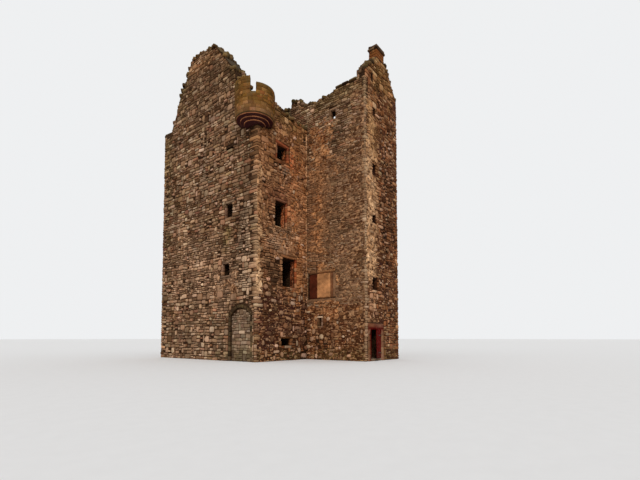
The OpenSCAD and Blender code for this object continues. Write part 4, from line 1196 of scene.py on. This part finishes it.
def flue_blocks(name, low, high, courses, palette, seed, node=None):
    """Blocks round a square flue with sides u0, u1, v0 and v1, from corner low to corner
    high: five to a course and four to the next, so that the joints turn."""
    rng = np.random.default_rng(seed)
    (x0, y0, z0), (x1, y1, z1) = low, high
    u0, u1 = (x0 + x1) / 2 - FLUE, (x0 + x1) / 2 + FLUE
    v0, v1 = (y0 + y1) / 2 - FLUE, (y0 + y1) / 2 + FLUE
    rows = []
    levels = np.linspace(z0, z1, courses + 1)
    for k, (a, b) in enumerate(zip(levels, levels[1:])):
        if k % 2:
            rows += [(x0, u0, y0, y1, a, b), (u1, x1, y0, y1, a, b), (u0, u1, y0, v0, a, b),
                     (u0, u1, v1, y1, a, b)]
        else:
            rows += [(x0, x1 - QUOIN, y0, v0, a, b), (x1 - QUOIN, x1, y0, v0, a, b),
                     (x0, x1, v1, y1, a, b), (x0, u0, v0, v1, a, b), (u1, x1, v0, v1, a, b)]
    rows = np.array(rows)
    middle = (rows[:, ::2] + rows[:, 1::2]) / 2
    size = (rows[:, 1::2] - rows[:, ::2]) / 2 - 0.004
    bevel = rng.uniform(0.008, 0.02, len(rows))
    local, faces = ring_stones(size[:, :2], block_rings(bevel, size[:, 2]), rng, 0.12, BOTH_ENDS)
    points = local + middle[:, None]
    paint = paint_stones(points, rng, palette, (), spread=0.12)
    # Lightens the painted shade on the blocks' ring in the joint.
    paint[:, :8] *= 1.6
    stone_piece(name, points, faces, False, paint, node)


FLUE, QUOIN = 0.13, 0.3
DRIP_H, DRIP_BACK, CAP_BACK = 0.13, 0.005, 0.045
shaft_low, shaft_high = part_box("wing_chimney_shaft")
cap_low, cap_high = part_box("wing_chimney_cap")
flue_blocks("chimney_blocks", shaft_low, shaft_high, 3,
            [(0.260, 0.088, 0.024, 3), (0.190, 0.064, 0.018, 2), (0.300, 0.125, 0.044, 1)], 86,
            "wing_chimney_shaft")
flue_blocks("chimney_cap_stones",
            (cap_low[0] + CAP_BACK, cap_low[1] + CAP_BACK, cap_low[2] + DRIP_H),
            (cap_high[0] - CAP_BACK, cap_high[1] - CAP_BACK, cap_high[2]), 1,
            [(0.080, 0.044, 0.022, 2), (0.130, 0.080, 0.045, 1)], 87, "wing_chimney_cap")
flue_blocks("chimney_drip_stones", (cap_low[0] + DRIP_BACK, cap_low[1] + DRIP_BACK, cap_low[2]),
            (cap_high[0] - DRIP_BACK, cap_high[1] - DRIP_BACK, cap_low[2] + DRIP_H), 1,
            [(0.210, 0.130, 0.070, 2), (0.110, 0.062, 0.032, 1)], 88)

# Slabs
# Thick roofing slabs that still cap part of the left gable's slope, the wing's eaves and
# the back corners, split along their beds and dark with moss.

SLATE = [(0.095, 0.066, 0.040, 3), (0.065, 0.045, 0.028, 2), (0.140, 0.098, 0.050, 1.5)]


def slab_run(name, start, end, across, width, normal, thick, parts, seed, node=None):
    """Slabs lapped in a row from start to end, width wide across, as wide flat stones."""
    rng = np.random.default_rng(seed)
    start, end = np.array(start), np.array(end)
    length = np.linalg.norm(end - start)
    cuts = np.linspace(0, length, parts + 1)
    cuts[1:-1] += rng.uniform(-0.08, 0.08, parts - 1)
    half = np.stack([np.diff(cuts) / 2 + LAP, np.full(parts, width / 2)], 1)
    half[:, 1] -= rng.uniform(0.0, 0.05, parts)
    t = thick * rng.uniform(0.75, 1.0, parts)
    rings = [(0.02, 0.002), (0, t * 0.3), (0, t * 0.75), (0.015, t)]
    local, faces = ring_stones(half, rings, rng, 0.35, BOTH_ENDS)
    local[..., 0] += ((cuts[1:] + cuts[:-1]) / 2)[:, None]
    axes = np.array([(end - start) / length, across, normal])
    points = start + local @ axes
    paint = paint_stones(points, rng, SLATE, [], spread=0.1)
    # Lightens the painted shade on the slabs' bottom ring.
    paint[:, :8] *= 1.4
    stone_piece(name, points, faces, np.linalg.det(axes) < 0, paint, node)


def skew_slabs():
    """Slabs on the left gable's front slope, from the CAD slabs' own lines: shares of the
    way from the head of the slope to its foot."""
    low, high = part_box("gable_skew_slabs")
    x = (low[0] + high[0]) / 2
    head, foot = np.array([x, -1.00, 19.65]), np.array([x, FRONT_Y + 1.95, 17.36])
    normal = np.cross(EAST, foot - head)
    normal = normal / np.linalg.norm(normal)
    normal = normal * np.sign(normal[2])
    for name, first, last, seed, node in (("skew_slabs_high", 0.02, 0.22, 91, "gable_skew_slabs"),
                                          ("skew_slabs_low", 0.45, 0.77, 92, None)):
        slab_run(name, head + first * (foot - head), head + last * (foot - head), EAST,
                 high[0] - low[0], normal, SKEW_THICK, 1, seed, node)


def flat_slabs(name, node, spans, parts, seed):
    """Level slabs in place of a CAD node's two plain ones, as far along y and as high as it
    is; spans are their (x0, x1)."""
    low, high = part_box(node)
    for k, (x0, x1) in enumerate(spans):
        middle = (x0 + x1) / 2
        slab_run(f"{name}_{k + 1}", (middle, low[1], low[2]), (middle, high[1], low[2]), EAST,
                 x1 - x0, UP, high[2] - low[2], parts, seed + k, node if k else None)


LAP, SKEW_THICK = 0.01, 0.09
skew_slabs()
flat_slabs("wing_slabs", "wing_eaves_slabs",
           [(WING_X - 0.13, WING_X + 0.74), (RIGHT_X - 0.74, RIGHT_X + 0.13)], 3, 93)
flat_slabs("back_eaves_slabs", "eaves_stones",
           [(LEFT_X - 0.06, LEFT_X + 0.95), (RIGHT_X - 0.95, RIGHT_X + 0.06)], 1, 96)

# Inside faces
# The top rooms stand open to the sky, so their walls show the same rubble, greyer and
# plainer than outside, with moss high up.

INNER = [(0.200, 0.140, 0.095, 3), (0.160, 0.108, 0.070, 3), (0.250, 0.180, 0.125, 1.5),
         (0.110, 0.070, 0.044, 1.5)]
ROOM_X, ROOM_Y = RIGHT_X - WALL, BACK_Y - WALL
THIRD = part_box("third_floor_boards")[1][2]
WING_WALL, WING_ROOM, WING_GABLE_FOOT = 0.7, 12.0, 16.9
COARSE = {"height": (0.13, 0.28), "ratio": (1.1, 2.6), "proud": (0.010, 0.045), "plain": True}
inner_stains = [((0.0, 0.0, 19.0), (6.0, 6.0, 2.4), OLIVE, 0.5)]
LEDGE = 0.30
for name, face, length, high, nodes, seed, low in (
        ("left_gable_inside", Face(LEFT_X + WALL - LEDGE, -ROOM_Y, NORTH, EAST), 2 * ROOM_Y, 19.9,
         WALLS, 101, THIRD),
        ("right_gable_inside", Face(ROOM_X + LEDGE, -ROOM_Y, NORTH, -EAST), 2 * ROOM_Y, 19.2,
         WALLS, 102, THIRD),
        ("front_wall_inside", Face(-ROOM_X, -ROOM_Y, EAST, NORTH), 2 * ROOM_X, 15.1, WALLS, 103,
         THIRD),
        ("back_wall_inside", Face(-ROOM_X, ROOM_Y, EAST, -NORTH), 2 * ROOM_X, 15.1, WALLS, 104,
         THIRD),
        ("wing_left_inside", Face(WING_X + WING_WALL, WING_Y + WING_WALL, NORTH, EAST),
         WING_OUT - WING_WALL, 16.8, WING, 105, WING_ROOM),
        ("wing_right_inside", Face(RIGHT_X - WING_WALL, WING_Y + WING_WALL, NORTH, -EAST),
         WING_OUT - WING_WALL, 16.8, WING, 106, WING_ROOM)):
    face_wall(name, face, length, high, nodes, INNER, inner_stains, seed, low=low, **COARSE)
face_wall("wing_gable_inside", Face(WING_X, WING_Y + 0.55, EAST, NORTH), WING_W, 18.8, WING, INNER,
          inner_stains, 107, height=(0.10, 0.22), ratio=(1.1, 2.6), low=WING_GABLE_FOOT)

# Floors
# Flagstones at the ground, a stone vault over them, and above that oak joists with wide
# boards, gone grey and dark-spotted under the open sky.


def flag_finish():
    """Worn flagstones: big cells with earth in the joints."""
    look = Finish("flagstones")
    cell = look.cells(1.3, "DISTANCE_TO_EDGE").outputs[0]
    tone = look.node("SeparateColor", look.cells(1.3).outputs["Color"]).outputs[0]
    grain = look.noise(30.0, 5.0)
    colour = look.mix(tone, (0.135, 0.105, 0.080), (0.230, 0.190, 0.150))
    colour = look.wash(colour, grain, 0.4, 0.7, (0.080, 0.060, 0.042), 0.6)
    joint = look.rise(cell, 0.01, 0.045)
    colour = look.mix(joint, (0.045, 0.030, 0.018), colour)
    height = look.calc("ADD", joint, look.calc("MULTIPLY", grain, 0.4))
    return look.done(colour, look.bump(height, 0.015))


def oak_finish():
    """Grey oak: long grain along y, with dark and mossy patches."""
    look = Finish("weathered_oak", rough=0.85)
    grain = look.noise(1.0, 6.0, 0.65, look.stretched(38.0, 2.2, 38.0))
    patch = look.noise(1.6, 3.0)
    colour = look.mix(grain, (0.085, 0.062, 0.044), (0.260, 0.220, 0.180))
    colour = look.wash(colour, patch, 0.48, 0.68, (0.070, 0.064, 0.034), 0.7)
    return look.done(colour, look.bump(grain, 0.004))


def joist_finish():
    """Dark oak with the grain along x."""
    look = Finish("joist_oak", rough=0.85)
    grain = look.noise(1.0, 6.0, 0.65, look.stretched(2.0, 34.0, 34.0))
    colour = look.mix(grain, (0.055, 0.036, 0.024), (0.160, 0.118, 0.085))
    return look.done(colour, look.bump(grain, 0.006))


dress(["ground_flags", "wing_flags", "first_floor_vault", "turret_floor"], flag_finish())
dress(["second_floor_joists", "third_floor_joists"], joist_finish())
oak = oak_finish()
END_GAP, FROM_WALL, SHORTEST_BOARD = 0.01, 1.4, 0.4


def plank_floor(name, node, seed):
    """Boards along y, two or three to a row, each a shallow slab of oak. They end END_GAP
    short of the walls, the last row takes the width that is left over, and a length up
    to SHORTEST_BOARD is missing."""
    rng = np.random.default_rng(seed)
    low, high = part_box(node)
    edges = np.cumsum(np.concatenate([[low[0] + END_GAP], rng.uniform(0.17, 0.24, 60)]))
    edges = edges[edges < high[0] - 0.08]
    edges = np.concatenate([edges, [high[0] - END_GAP]])
    rows = []
    for a, b in zip(edges, edges[1:]):
        ends = rng.uniform(low[1] + FROM_WALL, high[1] - FROM_WALL, rng.integers(1, 3))
        cuts = np.sort(np.concatenate([[low[1] + END_GAP, high[1] - END_GAP], ends]))
        rows += [(a, b, p, q) for p, q in zip(cuts, cuts[1:]) if q - p > SHORTEST_BOARD]
    rows = np.array(rows)
    thick = high[2] - low[2]
    rings = [(0.001, 0.002), (0, 0.006), (0, thick - 0.010), (0.004, thick - 0.004)]
    points, faces = ring_stones(half_sizes(rows, 0.004), rings, rng, 0.03, BOTH_ENDS)
    move_to(rows, points)
    points[..., 2] = np.minimum(points[..., 2], thick) + low[2]
    joined_mesh(name, points, faces, False, None, oak, node)


plank_floor("second_floor_planks", "second_floor_boards", 111)
plank_floor("third_floor_planks", "third_floor_boards", 112)

# Door
# A boarded door in the wing, painted dull red long ago: a pegged frame between dressed
# jambs, six upright boards on three ledges, and two iron straps on pintles.

DOOR_X, DOOR_W, DOOR_H, DOOR_STEP = 0.50, 1.20, 1.90, 0.15
DOOR_END, JAMB, JAMB_DEPTH, LINTEL_JOINT = DOOR_X + DOOR_W, 0.30, 0.35, 0.55
PINK = [(0.300, 0.160, 0.085, 2), (0.220, 0.105, 0.052, 2), (0.350, 0.210, 0.130, 1)]
DAUB_RED = np.array((0.150, 0.014, 0.007))


def door_stones():
    """Jambs of five blocks each and a darker lintel of two, in pinkish sandstone, with the
    door's red paint daubed over the left jamb and the lintel's lower edge."""
    rng = np.random.default_rng(121)
    cells = [(DOOR_X - JAMB, DOOR_X + LINTEL_JOINT, DOOR_H, DOOR_H + JAMB),
             (DOOR_X + LINTEL_JOINT, DOOR_END + JAMB, DOOR_H, DOOR_H + JAMB)]
    for x0, x1 in ((DOOR_X - JAMB, DOOR_X), (DOOR_END, DOOR_END + JAMB)):
        cuts = np.linspace(0, DOOR_H, 6)
        cuts[1:-1] += rng.uniform(-0.06, 0.06, 4)
        cells += [(x0, x1, p, q) for p, q in zip(cuts, cuts[1:])]
    cells = np.array(cells)
    proud = rng.uniform(0.004, 0.016, len(cells))
    bevel = rng.uniform(0.008, 0.016, len(cells))
    rings = [(0.004, -JAMB_DEPTH), (0, -0.3), (0, proud - bevel * 0.6), (bevel, proud)]
    local, faces = ring_stones(half_sizes(cells, 0.004), rings, rng, 0.10, BOTH_ENDS)
    move_to(cells, local)
    local[..., 1] = local[..., 1].clip(0.0, None)
    points = on_wing_front.place(local)
    paint = paint_stones(points, rng, PINK, (), spread=0.14)
    paint[:2] *= (0.75, 0.50, 0.48)
    daub = (np.abs(points[..., 0] - WING_X - DOOR_X) < 0.05) & (points[..., 2] < DOOR_H + 0.05)
    daub |= np.abs(points[..., 2] - DOOR_H) < 0.06
    paint[daub] = DAUB_RED * (1 + 0.3 * waves(points[daub], 6.0, 123)[:, None])
    stone_piece("door_stones", points, faces, on_wing_front.flip, paint,
                "door_surround")
    return rng


def worn_step(rng):
    """The step: one flat stone under the door, twice as deep as the jambs."""
    half = np.array([[(DOOR_END - DOOR_X) / 2 - 0.003, JAMB_DEPTH]])
    rings = [(0.012, 0.0), (0, 0.02), (0, DOOR_STEP - 0.02), (0.018, DOOR_STEP - 0.004)]
    local, faces = ring_stones(half, rings, rng, 0.05, BOTH_ENDS)
    points = local + np.array([WING_X + (DOOR_X + DOOR_END) / 2, WING_Y + JAMB_DEPTH, 0.0])
    points[..., 2] = np.minimum(points[..., 2], DOOR_STEP)
    paint = paint_stones(points, rng, [(0.230, 0.170, 0.120, 1)], (), spread=0.05)
    # Lightens the painted shade on the step's bottom ring.
    paint[:, :8] *= 1.6
    stone_piece("worn_step", points, faces, False, paint, "door_step")


def red_paint_finish():
    """Dull dark red paint, chalked and flaking to grey wood along the grain."""
    look = Finish("old_red_paint", rough=0.9, shine=0.05)
    grain = look.noise(1.0, 6.0, 0.65, look.stretched(60.0, 60.0, 3.0))
    patch = look.noise(9.0, 4.0)
    colour = look.mix(look.rise(patch, 0.35, 0.65), (0.080, 0.002, 0.001), (0.150, 0.006, 0.003))
    flake = look.rise(look.calc("ADD", grain, look.calc("MULTIPLY", patch, 0.4)), 0.80, 0.88)
    colour = look.mix(look.calc("MULTIPLY", flake, 0.8), colour, (0.120, 0.085, 0.062))
    low = look.rise(look.axis("Z"), 0.15, 0.75, 0.6, 0.0)
    colour = look.mix(look.calc("MULTIPLY", low, look.noise(14.0, 3.0)), colour,
                      (0.050, 0.036, 0.020))
    return look.done(colour, look.bump(grain, 0.003))


def iron_finish():
    """Wrought iron under scale and orange rust."""
    look = Finish("rusted_iron", rough=0.75, shine=0.4)
    look.shader.inputs["Metallic"].default_value = 0.35
    rust = look.noise(60.0, 5.0, 0.65)
    colour = look.mix(look.rise(rust, 0.42, 0.62), (0.030, 0.024, 0.020), (0.150, 0.052, 0.020))
    return look.done(colour, look.bump(rust, 0.002))


red_paint, iron = red_paint_finish(), iron_finish()
dress(["door_frame"], red_paint)
dress(["door_pins", "door_straps"], iron)
AJAR = math.radians(18)
leaf = Face(1.909, WING_Y - 0.021, np.array([-math.cos(AJAR), -math.sin(AJAR), 0.0]),
            np.array([math.sin(AJAR), -math.cos(AJAR), 0.0]))
LEAF_LOW, LEAF_HIGH = 0.156, 1.844
STRAPS, STRAP_END = (0.48, 1.50), 0.60


def door_boards():
    """Six boards and three ledges in the leaf's own frame: u from the hinge line along
    the leaf, v up, w outwards from the hinge line, turned by the angle at rest. Rows are
    (u0, u1, v0, v1, back, front), and no edge leaves the leaf's outline. Round-headed nails
    stand on the ledges and, further out, on the straps, which reach STRAP_END."""
    rng = np.random.default_rng(122)
    edges = np.linspace(0.015, 1.103, 7)
    edges[1:-1] += rng.uniform(-0.012, 0.012, 5)
    rows = [(a, b, LEAF_LOW, LEAF_HIGH, -0.053, -0.021) for a, b in zip(edges, edges[1:])]
    for share in (0.12, 0.5, 0.84):
        v = LEAF_LOW + share * (LEAF_HIGH - LEAF_LOW)
        rows.append((0.050, 1.065, v, v + 0.11, -0.077, -0.053))
    rows = np.array(rows)
    back, front = rows[:, 4], rows[:, 5]
    rings = [(0.003, back), (0, back + 0.004), (0, front - 0.004), (0.003, front)]
    local, faces = ring_stones(half_sizes(rows, 0.002), rings, rng, 0.04, BOTH_ENDS)
    local[..., 2] = np.clip(local[..., 2], back[:, None], front[:, None])
    move_to(rows, local)
    local[..., :2] = local[..., :2].clip((0.016, LEAF_LOW), (1.102, LEAF_HIGH))
    joined_mesh("door_boards", leaf.place(local), faces, leaf.flip, None, red_paint,
                "door_leaf", "door")
    us = np.tile((edges[1:] + edges[:-1]) / 2, 5)
    vs = np.repeat([*STRAPS, 0.41, 1.055, 1.63], 6)
    on_strap = np.isin(vs, STRAPS)
    keep = (us < STRAP_END) | ~on_strap
    w = np.where(on_strap, -0.013, -0.021)[keep]
    nails = np.stack([us, us, vs, vs], 1)[keep]
    rings = [(0, w - 0.004), (0.001, w + 0.002), (0.005, w + 0.005)]
    local, faces = ring_stones(np.full((len(nails), 2), 0.009), rings, rng, cut=0.5)
    move_to(nails, local)
    joined_mesh("door_nails", leaf.place(local), faces, leaf.flip, None, iron,
                body="door")


worn_step(door_stones())
door_boards()

# Light, floor and camera
# A pale studio floor under a soft, even sky, seen from the photograph's own place.


def stage_finish():
    """Pale floor that the camera sees white, with the object's soft shadow kept."""
    look = Finish("studio_floor", rough=0.9)
    grain = look.noise(3.0, 2.0)
    return look.done(look.mix(grain, (0.80, 0.79, 0.78), (0.84, 0.83, 0.82)))


floor_mesh = bpy.data.meshes.new("studio_floor")
FLOOR = 400.0
floor_mesh.from_pydata([(-FLOOR, -FLOOR, 0), (FLOOR, -FLOOR, 0), (FLOOR, FLOOR, 0),
                        (-FLOOR, FLOOR, 0)], [], [(0, 1, 2, 3)])
floor_mesh.materials.append(stage_finish())
studio_floor = bpy.data.objects.new("studio_floor", floor_mesh)
bpy.context.scene.collection.objects.link(studio_floor)
studio_floor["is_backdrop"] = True

world = bpy.data.worlds.new("studio_sky")
world.use_nodes = True
bpy.context.scene.world = world
sky = world.node_tree
paths = sky.nodes.new("ShaderNodeLightPath")
seen = paths.outputs["Is Camera Ray"]
for other in ("Is Glossy Ray", "Is Transmission Ray"):
    either = sky.nodes.new("ShaderNodeMath")
    either.operation = "MAXIMUM"
    sky.links.new(seen, either.inputs[0])
    sky.links.new(paths.outputs[other], either.inputs[1])
    seen = either.outputs[0]
blend = sky.nodes.new("ShaderNodeMixShader")
light, backdrop = sky.nodes["Background"], sky.nodes.new("ShaderNodeBackground")
light.inputs[0].default_value, light.inputs[1].default_value = (0.93, 0.96, 1.0, 1), 0.65
backdrop.inputs[0].default_value, backdrop.inputs[1].default_value = (0.86, 0.87, 0.88, 1), 1.0
sky.links.new(seen, blend.inputs[0])
sky.links.new(light.outputs[0], blend.inputs[1])
sky.links.new(backdrop.outputs[0], blend.inputs[2])
sky.links.new(blend.outputs[0], sky.nodes["World Output"].inputs[0])

sun = bpy.data.objects.new("soft_key", bpy.data.lights.new("soft_key", "SUN"))
sun.data.energy = 1.7
sun.data.angle = math.radians(18)
sun.data.color = (1.0, 0.96, 0.90)
sun.rotation_euler = Vector((0.70, 0.55, -0.60)).to_track_quat("-Z", "Y").to_euler()
bpy.context.scene.collection.objects.link(sun)

camera = bpy.data.objects.new("camera", bpy.data.cameras.new("camera"))
camera.data.sensor_width = 36.0
camera.data.lens = 22.5
camera.data.shift_y = 0.12
camera.location = (-19.27, -21.12, 1.35)
pitch = math.radians(3.0)
view = Vector((0.787 * math.cos(pitch), 0.617 * math.cos(pitch), math.sin(pitch)))
camera.rotation_euler = view.to_track_quat("-Z", "Y").to_euler()
camera.data.clip_end = 2000.0
bpy.context.scene.collection.objects.link(camera)
bpy.context.scene.camera = camera
bpy.context.scene.view_settings.view_transform = "Standard"

low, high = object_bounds()
